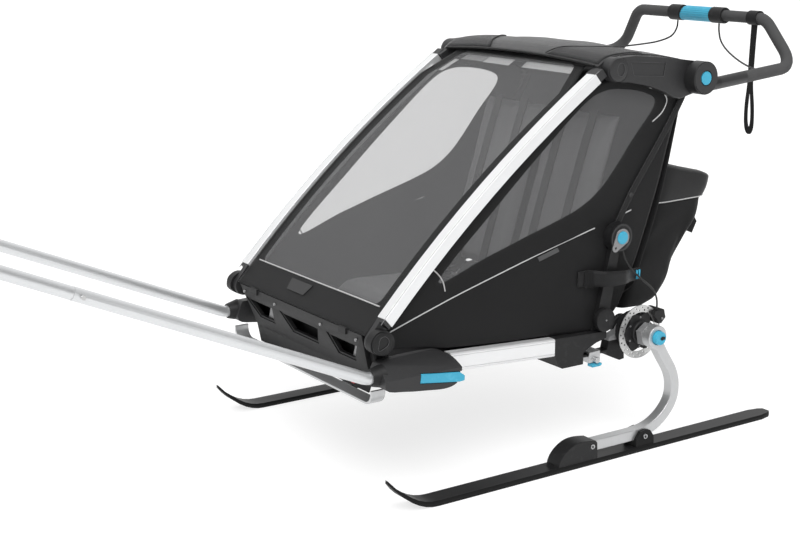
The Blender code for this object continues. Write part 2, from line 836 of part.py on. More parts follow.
def make_upper_frame(shop):
    """Side brackets and the bent rear tube that hangs from them."""
    for name, side in sides():
        bm = bmesh.new()
        slab(bm, side_bracket_outline(),
             *x_span(side, side_bracket_x, side_bracket_x + side_bracket_thickness))
        edges = [e for e in bm.edges
                 if all(abs(v.co.x) > side_bracket_x + side_bracket_thickness - 0.001 for v in e.verts)]
        bmesh.ops.bevel(bm, geom=edges, offset=0.003, segments=1, profile=0.5, affect="EDGES")
        bracket = shop.add(f"upper_bracket_{name}", bm, "black_plastic", origin=(0, *top_pivot))
        bm = bmesh.new()
        slab(bm, circle(top_pivot, pivot_pin_radius, 16),
             *x_span(side, tongue_inner_x + 0.006, side_bracket_x + 0.004))
        shop.join(bracket, bm)

    bm = bmesh.new()
    low = (rear_tube_x, knee[0], knee[1])
    shoulder = (rear_tube_x, 0.172, 0.905)
    path = round_path([low, shoulder, (-shoulder[0], *shoulder[1:]), (-low[0], *low[1:])], [0.045, 0.045])
    tube(bm, path, rear_tube_radius, 12)
    frame = shop.add("rear_frame", bm, "black_plastic", origin=(0, *top_pivot))
    bm = bmesh.new()
    for name, side in sides():
        stub = (0.150, 0.887)
        slab(bm, circle(stub, 0.008, 12), *x_span(side, rear_tube_x - 0.008, side_bracket_x - seat_gap))
    shop.join(frame, bm)


def make_rear_legs(shop):
    """The legs from the rear pivot to the knee, with their round knuckles and fold locks."""
    leg_outer = leg_inner_x + leg_thickness
    for name, side in sides():
        bm = bmesh.new()
        outline = link(rear_pivot, leg_eye_radius, knee, leg_half_width)
        slab(bm, outline, *x_span(side, leg_inner_x, leg_outer))
        leg = shop.add(f"rear_leg_{name}", bm, "black_plastic", origin=(0, *rear_pivot))
        bm = bmesh.new()
        slab(bm, circle(knee, knuckle_radius, 28), *x_span(side, leg_inner_x, knuckle_outer_x))
        shop.join(leg, bm)
        bm = bmesh.new()
        slab(bm, circle(rear_pivot, pivot_pin_radius + pin_clearance, 16),
             *x_span(side, leg_inner_x - cut_margin, leg_outer + cut_margin))
        shop.cut(leg, bm)

        bm = bmesh.new()
        tip = arc(knee, tab_reach, -112, -112, 1)[0]
        outline = link(knee, knee_disc_radius + 0.0045, tip, 0.0075)
        face = knuckle_outer_x + seat_gap
        slab(bm, outline, *x_span(side, face, face + 0.003))
        lock = shop.add(f"knee_lock_{name}", bm, "blue", origin=(side * face, *knee))
        bm = bmesh.new()
        slab(bm, circle(knee, knee_disc_radius, 24),
             *x_span(side, face + 0.001, face + knee_disc_thickness))
        shop.join(lock, bm)
        bm = bmesh.new()
        slab(bm, circle(tip, 0.0032, 12), *x_span(side, face - cut_margin, face + cut_margin))
        shop.cut(lock, bm)


def make_handlebar(shop):
    """The bent tube with its hubs, brake controls, wrist strap and hub buttons."""
    bm = bmesh.new()
    tube(bm, handle_path(), handle_tube_radius, 12)
    bar = shop.add("handlebar", bm, "grip_foam", origin=(0, *handle_pivot))
    for name, side in sides():
        bm = bmesh.new()
        slab(bm, circle(handle_pivot, handle_hub_radius, 28), *x_span(side, *handle_hub_x))
        shop.join(bar, bm)
    for name, side in sides():
        face = handle_hub_x[1]
        bm = bmesh.new()
        slab(bm, circle(handle_pivot, handle_button_radius + pin_clearance, 24),
             *x_span(side, face - handle_button_depth, face + cut_margin))
        shop.cut(bar, bm)
        bm = bmesh.new()
        slab(bm, circle(handle_pivot, handle_button_radius, 24),
             *x_span(side, face - handle_button_depth + 0.0045, face + 0.003))
        shop.add(f"handlebar_button_{name}", bm, "blue", origin=(side * face, *handle_pivot))

    # Twist grip on an inner sleeve that joins the two cable housings
    centre = handle_corner[1:]
    bore = handle_tube_radius + seat_gap * 1.5
    sleeve = bore + 0.0015
    x0, x1 = grip_x
    near = x1 + seat_gap
    far = x0 - seat_gap
    bm = bmesh.new()
    grip_bore = sleeve + seat_gap * 1.5
    turned(bm, [(grip_bore, x0), (grip_radius, x0), (grip_radius, x1), (grip_bore, x1)], centre, 20)
    shop.add("twist_grip", bm, "blue", origin=(0, *centre))
    bm = bmesh.new()
    turned(bm, [(bore, far - housing_length), (housing_radius, far - housing_length), (housing_radius, far),
                (sleeve, far), (sleeve, near), (housing_radius, near),
                (housing_radius, near + housing_length), (bore, near + housing_length)], centre, 20)
    shop.add("brake_controls", bm, "black_plastic", origin=(0, *handle_pivot))

    bm = bmesh.new()
    half = strap_width / 2
    turned(bm, [(bore, strap_x - half), (bore + 0.003, strap_x - half),
                (bore + 0.003, strap_x + half), (bore, strap_x + half)], centre, 20)
    strap = shop.add("wrist_strap", bm, "black_fabric", origin=(0, *centre))
    bm = bmesh.new()
    top = centre[1] - bore
    neck = top - 0.125
    outer = [(strap_x + 0.010, top), (strap_x - 0.010, top), (strap_x - 0.010, neck),
             (strap_x - 0.016, neck - 0.05), (strap_x - 0.018, strap_bottom + 0.02),
             (strap_x - 0.010, strap_bottom), (strap_x + 0.016, strap_bottom),
             (strap_x + 0.024, strap_bottom + 0.02), (strap_x + 0.020, neck - 0.05),
             (strap_x + 0.010, neck)]
    slab_y(bm, outer, centre[0] - 0.003, centre[0] + 0.003)
    shop.join(strap, bm)
    bm = bmesh.new()
    slot = [(strap_x - 0.004, neck - 0.045), (strap_x - 0.008, neck - 0.08),
            (strap_x - 0.008, strap_bottom + 0.015), (strap_x + 0.014, strap_bottom + 0.015),
            (strap_x + 0.014, neck - 0.08), (strap_x + 0.008, neck - 0.045)]
    slab_y(bm, slot, centre[0] - cut_margin, centre[0] + cut_margin)
    shop.cut(strap, bm)


def make_cables(shop):
    """Brake cables: two at the handlebar, two from the knees down to the calipers."""
    upper = [
        [(0.079, 0.5290, 1.0331), (0.082, 0.5270, 1.0120), (0.100, 0.5180, 0.9860), (0.140, 0.5020, 0.9640),
         (0.200, 0.4780, 0.9460), (0.260, 0.4560, 0.9340), (0.3288, 0.4370, 0.9252)],
        [(-0.083, 0.5290, 1.0331), (-0.086, 0.5280, 1.0100), (-0.104, 0.5240, 0.9860),
         (-0.150, 0.5150, 0.9680), (-0.210, 0.5030, 0.9560), (-0.270, 0.4920, 0.9460),
         (-0.3245, 0.4820, 0.9312)],
    ]
    lower = [(0.3440, -0.0480, 0.5040), (0.3470, -0.0400, 0.4800), (0.3540, -0.0220, 0.4520),
             (0.3620, 0.0060, 0.4250), (0.3690, 0.0340, 0.4000), (0.3720, 0.0490, 0.3730),
             (0.3720, 0.0520, hub_z + 0.0515)]
    for (name, side), route in zip(sides(), upper):
        shop.cord(f"upper_cable_{name}", smooth_route(route), cable_radius, "cable", (0, *handle_pivot))
    for name, side in sides():
        route = smooth_route([(side * x, y, z) for x, y, z in lower])
        shop.cord(f"lower_cable_{name}", route, cable_radius, "cable", (0, *rear_pivot))


def rear_line():
    """The cabin's rear fabric, from its foot up to the roof, as (y, z)."""
    return [(-0.040, 0.312), (-0.010, 0.352), (0.046, 0.485), (0.092, 0.598),
            (0.124, 0.700), (0.156, 0.815), (0.184, 0.878), (0.214, 0.925)]


def roof_line():
    """The roof's inner face from front to rear, as (y, z)."""
    return [(-0.1290, 0.9720), (-0.1080, 0.9850), (-0.0850, 0.9905), (-0.0300, 0.9945),
            (0.0400, 0.9890), (0.1000, 0.9805), (0.1600, 0.9690), (0.2050, 0.9560), (0.2260, 0.9400)]


def make_cabin(shop):
    """Roof, and the sewn fabric of the sides and rear as one plain solid."""
    bm = bmesh.new()
    outline = strip(roof_line(), fabric)
    rings = []
    for i in range(9):
        share = i / 4 - 1
        lift = roof_crown * (1 - share * share)
        rings.append([(roof_half_width * share, y, z + lift) for y, z in outline])
    skin(bm, rings)
    shop.add("roof", bm, "black_fabric", origin=(0, *top_pivot))

    bm = bmesh.new()
    half = panel_inner_x + panel_thickness / 2
    slab(bm, strip(rear_line()[:-2][::-1], fabric), -half, half)
    cabin = shop.add("cabin_fabric", bm, "black_fabric", origin=(0, *top_pivot))
    rear_edge = [(y + fabric / 2, z) for y, z in rear_line() if 0.4 < z < 0.82]
    top = [(0.139, 0.8500), (0.130, 0.8660), (0.110, 0.8760), (0.070, 0.8930), (0.010, 0.9120),
           (-0.060, 0.9260), (-0.082, 0.9210)]
    front_edge = bar_line(fold_chord - 0.050, 0.052, -seat_gap * 2, 10)
    low_front = (front_edge[-1][0] + 0.010, rail_top(-0.70) + 0.022)
    bottom = [low_front, (-0.640, bracket_top + 0.004), (-0.600, bracket_top + 0.001),
              (rail_front_y - 0.002, rail_top(rail_front_y) + 0.008)]
    bottom += [(rail_rear_y, rail_rear_top + seat_gap), (-0.150, 0.3060), (-0.139, 0.357),
               (-0.1080, 0.3730), (-0.020, 0.3730)]
    for name, side in sides():
        bm = bmesh.new()
        slab(bm, rear_edge + top + front_edge + bottom,
             *x_span(side, panel_inner_x, panel_inner_x + panel_thickness))
        shop.join(cabin, bm)


def make_bag(shop):
    """The cargo bag behind the cabin, closed by its lid."""
    front = [(y + fabric + bag_gap, z) for y, z in rear_line() if 0.34 < z < 0.69]
    front.append((0.134, 0.690))
    back = [(0.1600, 0.7020), (0.2500, 0.6750), (0.3320, 0.6440), (0.3340, 0.6200), (0.3160, 0.5900),
            (0.2980, 0.5400), (0.2600, 0.4900), (0.2150, 0.4150), (0.1800, 0.3620), (0.1250, 0.3320),
            (0.0600, 0.3230), (0.0150, 0.3330)]
    outline = front + back
    middle = (0.17, 0.50)
    rings = []
    for x, inset in ((-bag_half_width, 1), (bag_side_round - bag_half_width, 0),
                     (bag_half_width - bag_side_round, 0), (bag_half_width, 1)):
        ring = []
        for y, z in outline:
            pull = unit(middle[0] - y, middle[1] - z)
            ring.append((x, y + pull[0] * bag_side_round * inset, z + pull[1] * bag_side_round * inset))
        rings.append(ring)
    bm = bmesh.new()
    skin(bm, rings)
    shop.add("cargo_bag", bm, "black_fabric", origin=(0, *top_pivot))


def seat_back_line():
    """The backrests' rear face, from the bench up, as (y, z)."""
    return [(-0.140, 0.386), (-0.105, 0.500), (-0.062, 0.640), (-0.022, 0.760), (0.005, 0.835)]


def make_seat(shop):
    """Bench, two backrests and the two harnesses."""
    bm = bmesh.new()
    front = -0.520
    outline = [(front, pan_top(front) + seat_gap), (rail_rear_y, pan_top(rail_rear_y) + seat_gap)]
    outline += [(rail_rear_y, rail_rear_top + seat_gap * 2), (-0.155, 0.3045), (-0.155, 0.375),
                (-0.300, 0.372), (-0.500, 0.385), (front, 0.370)]
    slab(bm, outline, -seat_half_width, seat_half_width)
    shop.add("seat_base", bm, "grey_fabric")

    # Two backrests, joined by the thin web between them
    line = seat_back_line()
    edge = seat_half_width - 0.010
    bm = bmesh.new()
    rings = []
    for x, thickness in ((-edge, seat_back_thickness), (-seat_split, seat_back_thickness),
                         (0.002 - seat_split, seat_web), (seat_split - 0.002, seat_web),
                         (seat_split, seat_back_thickness), (edge, seat_back_thickness)):
        rings.append([(x, y, z) for y, z in strip(line, thickness)])
    skin(bm, rings)
    shop.add("seat_backs", bm, "grey_fabric")

    # Each harness: two shoulder straps down to a lap strap and its buckle
    middle = (seat_split + edge) / 2
    half = harness_width / 2
    lap_y = -0.250
    line = [(lap_y, 0.3739), (-0.185, 0.3762)]
    line += offset_line(seat_back_line(), seat_back_thickness + 2 * seat_gap)
    for name, side in sides():
        bm = bmesh.new()
        slab(bm, strip([(-0.350, 0.3764), (-0.300, 0.3730), (lap_y + 0.005, 0.3740)], harness_thickness),
             *x_span(side, middle - half, middle + half))
        harness = shop.add(f"harness_{name}", bm, "black_fabric")
        bm = bmesh.new()
        block(bm, x_span(side, middle - lap_half_width, middle + lap_half_width),
              (lap_y - harness_width, lap_y), (0.3742, 0.3780))
        shop.join(harness, bm)
        bm = bmesh.new()
        block(bm, x_span(side, middle - buckle_half_width, middle + buckle_half_width),
              (lap_y - 0.034, lap_y + 0.004),
              (0.3750, 0.3900))
        shop.join(harness, bm)
        for shift in (-harness_spread, harness_spread):
            bm = bmesh.new()
            slab(bm, strip([(line[0][0] - 0.01, line[0][1])] + line[1:], harness_thickness),
                 *x_span(side, middle + shift - half, middle + shift + half))
            shop.join(harness, bm)


def make_hubs(shop):
    """On each side: swing arm, clamp, caliper on its backing plate, spinning hub and rotor."""
    hub = (0.0, hub_z)
    slope = unit(1, leaf_slope)

    def leaf(distance, offset):
        return (leaf_pivot[0] + slope[0] * distance - slope[1] * offset,
                leaf_pivot[1] + slope[1] * distance + slope[0] * offset)

    half = leaf_thickness / 2
    reach = -leaf_pivot[0]
    for name, side in sides():
        pivot_origin = (side * leaf_inner_x, *leaf_pivot)
        bm = bmesh.new()
        outline = arc(leaf_pivot, leaf_eye_radius, 22, 344, 12)
        outline += [leaf(reach - 0.008, -half), (0.010, hub_z - 0.0320), (0.0165, hub_z - 0.0120)]
        outline += arc(hub, arm_head_radius, -20, 150, 8)
        outline += [(-0.0300, hub_z - 0.0060), (-0.0620, hub_z - 0.0160), (-0.0660, hub_z - 0.0350),
                    leaf(reach - 0.069, half)]
        slab(bm, outline, *x_span(side, leaf_inner_x, leaf_outer_x))
        arm = shop.add(f"swing_arm_{name}", bm, "grey_cast", origin=pivot_origin)
        bm = bmesh.new()
        wedge = [leaf(reach - 0.071, -half + 0.001), leaf(reach - 0.009, -half + 0.001),
                 leaf(reach - 0.008, -0.0330), leaf(reach - 0.024, -0.0345), leaf(reach - 0.066, -0.0130)]
        slab(bm, wedge, *x_span(side, leaf_inner_x + wedge_inset, leaf_outer_x - wedge_inset))
        shop.join(arm, bm)
        bm = bmesh.new()
        rod(bm, (side * (leaf_inner_x + 0.010), *hub), (side * (strut_inner_x + weld), *hub), axle_radius)
        shop.join(arm, bm)
        bm = bmesh.new()
        slab(bm, circle(leaf_pivot, leaf_pin_radius + pin_clearance, 16),
             *x_span(side, leaf_inner_x - cut_margin, leaf_outer_x + cut_margin))
        shop.cut(arm, bm)

        # Clamp that slides on the leaf, with its thumb screw on the outside
        bm = bmesh.new()
        near = clamp_front_y - leaf_pivot[0]
        far = near + clamp_length
        outline = [leaf(near, -clamp_drop), leaf(far, -clamp_drop), leaf(far, half + clamp_wall),
                   leaf(near, half + clamp_wall)]
        slab(bm, outline, *x_span(side, leaf_inner_x - clamp_wall, leaf_outer_x + clamp_wall))
        clamp = shop.add(f"leaf_clamp_{name}", bm, "silver", origin=(side * leaf_inner_x, *leaf(near, 0)))
        bm = bmesh.new()
        gap = half + pin_clearance
        outline = [leaf(near - cut_margin, -gap), leaf(far + cut_margin, -gap),
                   leaf(far + cut_margin, gap), leaf(near - cut_margin, gap)]
        slab(bm, outline, *x_span(side, leaf_inner_x - pin_clearance, leaf_outer_x + pin_clearance))
        shop.cut(clamp, bm)
        bm = bmesh.new()
        knob_at = leaf((near + far) / 2, -0.0125)
        slab(bm, circle(knob_at, knob_radius, 12),
             *x_span(side, leaf_outer_x + clamp_wall - weld, leaf_outer_x + clamp_wall + knob_length))
        shop.join(clamp, bm)

        # Backing plate with the caliper's arm; the rotor runs in the caliper's slot
        bm = bmesh.new()
        bore = axle_radius + seat_gap
        turned(bm, [(bore, side * backing_x), (backing_radius, side * backing_x),
                    (backing_radius, side * (backing_x + backing_thickness)),
                    (bore, side * (backing_x + backing_thickness))], hub)
        caliper = shop.add(f"caliper_{name}", bm, "black_plastic", origin=(side * backing_x, *hub))
        bm = bmesh.new()
        body = [(0.0280, 0.0180), (0.0620, 0.0160), (0.0760, 0.0300), (0.0700, 0.0520), (0.0400, 0.0500)]
        slab(bm, [(y, hub_z + z) for y, z in body], *x_span(side, backing_x + weld, caliper_outer_x))
        shop.join(caliper, bm)
        bm = bmesh.new()
        slot_x = spider_x + spider_thickness
        slab(bm, circle(hub, rotor_radius + 0.0015, 32),
             *x_span(side, slot_x - 0.0014, slot_x + rotor_thickness + 0.0010))
        shop.cut(caliper, bm)
        bm = bmesh.new()
        slab(bm, circle(hub, spider_radius + 0.0015, 24), *x_span(side, 0.345, 0.390))
        shop.cut(caliper, bm)

        bm = bmesh.new()
        bore = axle_radius + pin_clearance
        start = backing_x + backing_thickness + seat_gap
        turned(bm, [(bore, side * start), (hub_body_radius, side * start),
                    (hub_body_radius, side * (spider_x - 0.002)), (spider_radius, side * spider_x),
                    (spider_radius, side * (spider_x + spider_thickness)),
                    (bore, side * (spider_x + spider_thickness))], hub)
        wheel_hub = shop.add(f"hub_{name}", bm, "black_plastic", origin=(side * spider_x, *hub))
        bm = bmesh.new()
        face = spider_x + spider_thickness - 0.0004
        turned(bm, [(rotor_inner_radius, side * face), (rotor_radius, side * face),
                    (rotor_radius, side * (face + rotor_thickness)),
                    (rotor_inner_radius, side * (face + rotor_thickness))], hub, 32)
        shop.join(wheel_hub, bm)


def strut_line():
    """The strut's centre line from the hub down its C and forward along the ski."""
    down = [(0.0, 0.0), (0.0125, -0.0290), (0.0310, -0.0585), (0.0530, -0.0915), (0.0650, -0.1205),
            (0.0680, -0.1465), (0.0645, -0.1705), (0.0525, -0.1930), (0.0335, -0.2130),
            (0.0100, -0.2290), (-0.0150, -0.2395), (-0.0450, -0.2460)]
    line = [(y, hub_z + z) for y, z in down]
    return line + [(-0.080, strut_foot_z), (strut_foot_front_y, strut_foot_z)]


def make_skis(shop):
    """Ski, C-strut, the two shoes between them and the quick-release cap at the hub."""
    hub = (0.0, hub_z)
    for name, side in sides():
        bm = bmesh.new()
        stations = [(ski_tail_y, 0.0, 0.45), (ski_tail_y - 0.012, 0.0, 0.75), (ski_tail_y - 0.045, 0.0, 1.0),
                    (0.0, 0.0, 0.96), (ski_flat_front_y + 0.10, 0.0, 1.0), (ski_flat_front_y, 0.0, 1.0)]
        steps = 7
        for i in range(1, steps + 1):
            share = i / steps
            width = (1.0, 0.98, 0.94, 0.86, 0.72, 0.50, 0.20)[i - 1]
            y = ski_flat_front_y + (ski_tip_y - ski_flat_front_y) * share
            stations.append((y, ski_tip_rise * share ** 2.1, width))
        rings = []
        for y, z, share in stations:
            half = ski_width / 2 * share
            crown = ski_thickness if z < ski_tip_rise * 0.5 else ski_thickness * 0.7
            profile = [(-half, z), (half, z), (half, z + crown * 0.6), (half * 0.86, z + crown),
                       (-half * 0.86, z + crown), (-half, z + crown * 0.6)]
            rings.append([(side * ski_x + px, y, pz) for px, pz in profile])
        skin(bm, rings)
        pivot_origin = (side * leaf_inner_x, *leaf_pivot)
        ski = shop.add(f"ski_{name}", bm, "ski_black", origin=pivot_origin)

        bm = bmesh.new()
        line = strut_line()
        half = strut_width / 2
        outline = offset_line(line, half) + offset_line(line, -half)[::-1]
        strut_span = x_span(side, strut_inner_x, strut_inner_x + strut_thickness)
        slab(bm, outline, *strut_span)
        key_span = x_span(side, strut_inner_x - key_width, strut_inner_x + weld)
        strut = shop.add(f"ski_strut_{name}", bm, "silver", origin=pivot_origin)
        bm = bmesh.new()
        slab(bm, circle(hub, strut_ring_radius, 24), *strut_span)
        shop.join(strut, bm)
        bm = bmesh.new()
        slab(bm, arc(hub, key_radius, 15, 315, 5), *key_span)
        shop.join(strut, bm)
        bm = bmesh.new()
        slab(bm, circle(hub, cap_radius + pin_clearance, 24),
             *x_span(side, strut_inner_x + 0.0025, strut_inner_x + 0.05))
        shop.cut(strut, bm)
        bm = bmesh.new()
        slab(bm, circle(hub, axle_radius + pin_clearance, 16), *x_span(side, 0.37, 0.42))
        shop.cut(strut, bm)

        bm = bmesh.new()
        start = strut_inner_x + 0.0065
        end = strut_inner_x + strut_thickness + cap_reach
        slab(bm, circle(hub, cap_radius, 24), *x_span(side, start, end))
        shop.add(f"hub_cap_{name}", bm, "blue", origin=(side * end, *hub))

        base = ski_thickness - 0.001
        x0, x1 = x_span(side, ski_x - shoe_half_width, ski_x + shoe_half_width)
        nose, tail = front_shoe_y
        front = [(nose, base), (tail, base), (tail, 0.052), (tail - 0.030, 0.066)]
        front += [(nose + 0.060, front_shoe_top - 0.002), (nose + 0.035, front_shoe_top - 0.010),
                  (nose + 0.012, 0.040)]
        nose, tail = rear_shoe_y
        rear = [(nose, base), (tail, base), (tail - 0.002, 0.034), (tail - 0.014, 0.050),
                (tail - 0.031, rear_shoe_top), (tail - 0.048, 0.051), (nose + 0.001, 0.034)]
        for outline, bolt in ((front, (-0.226, 0.036)), (rear, (-0.041, 0.036))):
            bm = bmesh.new()
            slab(bm, outline, x0, x1)
            shop.join(ski, bm)
            bm = bmesh.new()
            slab(bm, circle(bolt, shoe_bolt_radius, 8),
                 *x_span(side, ski_x + shoe_half_width - weld, ski_x + shoe_half_width + shoe_bolt_head))
            shop.join(ski, bm)
        # The strut's foot runs through the front shoe and lies open in the rear one
        line = strut_line()[7:]
        line[-1] = (line[-1][0] - channel_slack, line[-1][1])
        gap = strut_width / 2 + channel_slack
        for part, above in ((line, gap), (line[:-1], gap + strut_width)):
            bm = bmesh.new()
            outline = offset_line(part, gap) + offset_line(part, -above)[::-1]
            slab(bm, outline,
                 *x_span(side, strut_inner_x - channel_slack,
                         strut_inner_x + strut_thickness + channel_slack))
            shop.cut(ski, bm)


def build():
    clear_scene()
    shop = Workshop()
    make_lower_frame(shop)
    make_front_end(shop)
    make_tow_poles(shop)
    make_front_frame(shop)
    make_front_cover(shop)
    make_upper_frame(shop)
    make_rear_legs(shop)
    make_handlebar(shop)
    make_cables(shop)
    make_cabin(shop)
    make_bag(shop)
    make_seat(shop)
    make_hubs(shop)
    make_skis(shop)


build()
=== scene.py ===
# Child trailer on skis: finishes, sewn pieces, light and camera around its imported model
import json
import math

import bmesh
import bpy
import numpy as np
from mathutils import Matrix, Vector, noise


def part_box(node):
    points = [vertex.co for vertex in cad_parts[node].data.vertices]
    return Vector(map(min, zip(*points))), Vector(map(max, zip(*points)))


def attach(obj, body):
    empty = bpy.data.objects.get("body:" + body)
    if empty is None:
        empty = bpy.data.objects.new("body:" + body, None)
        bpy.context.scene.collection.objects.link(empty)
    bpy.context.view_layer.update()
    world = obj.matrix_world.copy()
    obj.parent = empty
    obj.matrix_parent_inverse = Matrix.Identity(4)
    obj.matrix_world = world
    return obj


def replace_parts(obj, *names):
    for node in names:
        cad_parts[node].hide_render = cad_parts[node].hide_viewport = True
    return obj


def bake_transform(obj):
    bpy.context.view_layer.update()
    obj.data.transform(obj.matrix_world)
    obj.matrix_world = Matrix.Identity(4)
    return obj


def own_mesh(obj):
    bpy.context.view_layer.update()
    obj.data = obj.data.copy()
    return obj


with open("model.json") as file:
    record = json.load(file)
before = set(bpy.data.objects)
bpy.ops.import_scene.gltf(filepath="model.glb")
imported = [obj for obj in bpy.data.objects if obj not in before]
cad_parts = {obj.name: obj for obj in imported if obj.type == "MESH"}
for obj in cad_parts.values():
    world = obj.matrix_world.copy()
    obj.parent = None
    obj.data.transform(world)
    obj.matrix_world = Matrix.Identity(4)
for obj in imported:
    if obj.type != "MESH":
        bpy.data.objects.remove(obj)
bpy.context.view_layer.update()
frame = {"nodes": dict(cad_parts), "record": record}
nodes = frame["nodes"]
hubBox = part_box("hub_left")
hubY = (hubBox[0].y + hubBox[1].y) / 2  # lengths along the trailer are measured from the hubs' axis
print("frame loaded, hubs at", round(hubY, 4))


# Shader writing

class Wire:
    # one output in a node tree; arithmetic on it adds Math nodes
    def __init__(self, finish, socket):
        self.finish = finish
        self.socket = socket

    def calc(self, operation, *values, clamp=False):
        return self.finish.node("Math", {"operation": operation, "use_clamp": clamp}, dict(enumerate(values)))

    def __add__(self, other):
        return self.calc("ADD", self, other)

    def __radd__(self, other):
        return self.calc("ADD", other, self)

    def __sub__(self, other):
        return self.calc("SUBTRACT", self, other)

    def __rsub__(self, other):
        return self.calc("SUBTRACT", other, self)

    def __mul__(self, other):
        return self.calc("MULTIPLY", self, other)

    def __rmul__(self, other):
        return self.calc("MULTIPLY", other, self)

    def __truediv__(self, other):
        return self.calc("DIVIDE", self, other)

    def __rtruediv__(self, other):
        return self.calc("DIVIDE", other, self)

    def above(self, edge, soft=0.0004):
        # 0 below the edge and 1 above it, over a soft width
        return self.calc("ADD", (self - edge) / soft, 0.5, clamp=True)

    def below(self, edge):
        return 1.0 - self.above(edge)

    def wave(self, pitch):
        return self.calc("SINE", self * (2 * math.pi / pitch))


class Shading:
    # a node tree and the method that adds its nodes; the shader is the node that the wires end in
    def __init__(self, owner, shader):
        owner.use_nodes = True
        self.tree = owner.node_tree
        self.shader = next(n for n in self.tree.nodes if n.type == shader)

    def node(self, kind, settings=None, values=None, out=0):
        made = self.tree.nodes.new("ShaderNode" + kind)
        for name, value in (settings or {}).items():
            if name == "stops":
                ramp = made.color_ramp
                while len(ramp.elements) < len(value):
                    ramp.elements.new(1.0)
                for element, (place, shade) in zip(ramp.elements, value):
                    element.position = place
                    element.color = (*shade, 1) if len(shade) == 3 else shade
            else:
                setattr(made, name, value)
        for name, value in (values or {}).items():
            if isinstance(value, Wire):
                self.tree.links.new(value.socket, made.inputs[name])
            else:
                made.inputs[name].default_value = value
        return Wire(self, made.outputs[out])

    def place(self, kind="Object"):
        return self.node("TexCoord", out=kind)

    def axes(self, kind="Object"):
        split = self.tree.nodes.new("ShaderNodeSeparateXYZ")
        self.tree.links.new(self.place(kind).socket, split.inputs[0])
        return [Wire(self, output) for output in split.outputs]

    def stretched(self, scale):
        return self.node("Mapping", {}, {"Vector": self.place(), "Scale": scale})

    def cloud(self, scale, detail=2.0, where=None):
        return self.node("TexNoise", {}, {"Vector": where or self.place(), "Scale": scale, "Detail": detail})

    def marked(self, name):
        return self.node("Attribute", {"attribute_name": name}, out="Fac")

    def mix(self, first, second, share):
        colours = [c if isinstance(c, Wire) else (*c, 1.0) for c in (first, second)]
        return self.node("Mix", {"data_type": "RGBA"}, {0: share, 6: colours[0], 7: colours[1]}, out=2)

    def put(self, socket, wire):
        self.tree.links.new(wire.socket, self.shader.inputs[socket])

    def bump(self, height, distance, strength=1.0, under=None):
        values = {"Height": height, "Distance": distance, "Strength": strength}
        if under is not None:
            values["Normal"] = under
        return self.node("Bump", {}, values)

    def weave(self, pitch):
        # plain weave on the piece's flat map: threads over and under each other
        across, along, _ = self.axes("UV")
        return across.wave(pitch) * along.wave(pitch)


class Finish(Shading):
    # one material round a Principled shader
    def __init__(self, name, fixed):
        self.material = bpy.data.materials.new(name)
        super().__init__(self.material, "BSDF_PRINCIPLED")
        for socket, value in fixed.items():
            self.shader.inputs[socket].default_value = value


# Finishes of the hard parts

def metalFinish(name, look):
    finish = Finish(name, {"Metallic": look["metal"], "Specular IOR Level": 0.5})
    grain = finish.cloud(1.0, 3.0, finish.stretched(look["grain"]))
    patches = finish.cloud(7.0, 3.0)
    finish.put("Base Color", finish.mix(look["low"], look["high"], grain * 0.6 + patches * 0.4))
    finish.put("Roughness", look["rough"] + grain * look["spread"] + patches * 0.06)
    finish.put("Normal", finish.bump(grain, look["depth"], 0.35))
    return finish.material


def plasticFinish(name, look):
    finish = Finish(name, {"Specular IOR Level": look["gloss"]})
    grain = finish.cloud(look["grain"], 2.0)
    patches = finish.cloud(11.0, 4.0)
    dust = finish.cloud(60.0, 2.0)
    shade = finish.mix(look["low"], look["high"], patches)
    finish.put("Base Color", finish.mix(shade, look["worn"], dust.above(0.62, 0.1) * 0.35))
    finish.put("Roughness", look["rough"] + patches * 0.10 + dust * 0.05)
    finish.put("Normal", finish.bump(grain, look["depth"], 0.5))
    return finish


silver = metalFinish("anodised silver", {"metal": 0.55, "low": (0.78, 0.785, 0.79),
                                         "high": (0.90, 0.905, 0.91), "grain": (900, 60, 900),
                                         "rough": 0.36, "spread": 0.10, "depth": 0.0001})
strutSilver = metalFinish("strut aluminium", {"metal": 0.85, "low": (0.50, 0.505, 0.51),
                                              "high": (0.62, 0.625, 0.63), "grain": (900, 300, 90),
                                              "rough": 0.34, "spread": 0.12, "depth": 0.0001})
poleSilver = metalFinish("pole aluminium", {"metal": 0.8, "low": (0.64, 0.65, 0.66), "high": (0.80, 0.81, 0.82),
                                            "grain": (700, 35, 500), "rough": 0.34, "spread": 0.12,
                                            "depth": 0.0001})
steel = metalFinish("brushed steel", {"metal": 1.0, "low": (0.50, 0.50, 0.50), "high": (0.68, 0.68, 0.67),
                                      "grain": (200, 1600, 1600), "rough": 0.26, "spread": 0.12,
                                      "depth": 0.00008})
castGrey = metalFinish("cast grey metal", {"metal": 0.7, "low": (0.24, 0.24, 0.245), "high": (0.36, 0.36, 0.365),
                                           "grain": (500, 500, 500), "rough": 0.40, "spread": 0.16,
                                           "depth": 0.00025})
blackLook = {"low": (0.0090, 0.0090, 0.0095), "high": (0.0160, 0.0160, 0.0165), "worn": (0.030, 0.030, 0.031),
             "grain": 1500.0, "rough": 0.44, "gloss": 0.30, "depth": 0.00012}
blackPlastic = plasticFinish("black moulded plastic", blackLook).material
satinLook = dict(blackLook, low=(0.019, 0.019, 0.020), high=(0.030, 0.030, 0.031), rough=0.38, gloss=0.42)
satinPlastic = plasticFinish("satin bracket plastic", satinLook).material
rimPlastic = plasticFinish("worn plastic rim", dict(satinLook, low=(0.050, 0.050, 0.052),
                                                   high=(0.075, 0.075, 0.077))).material
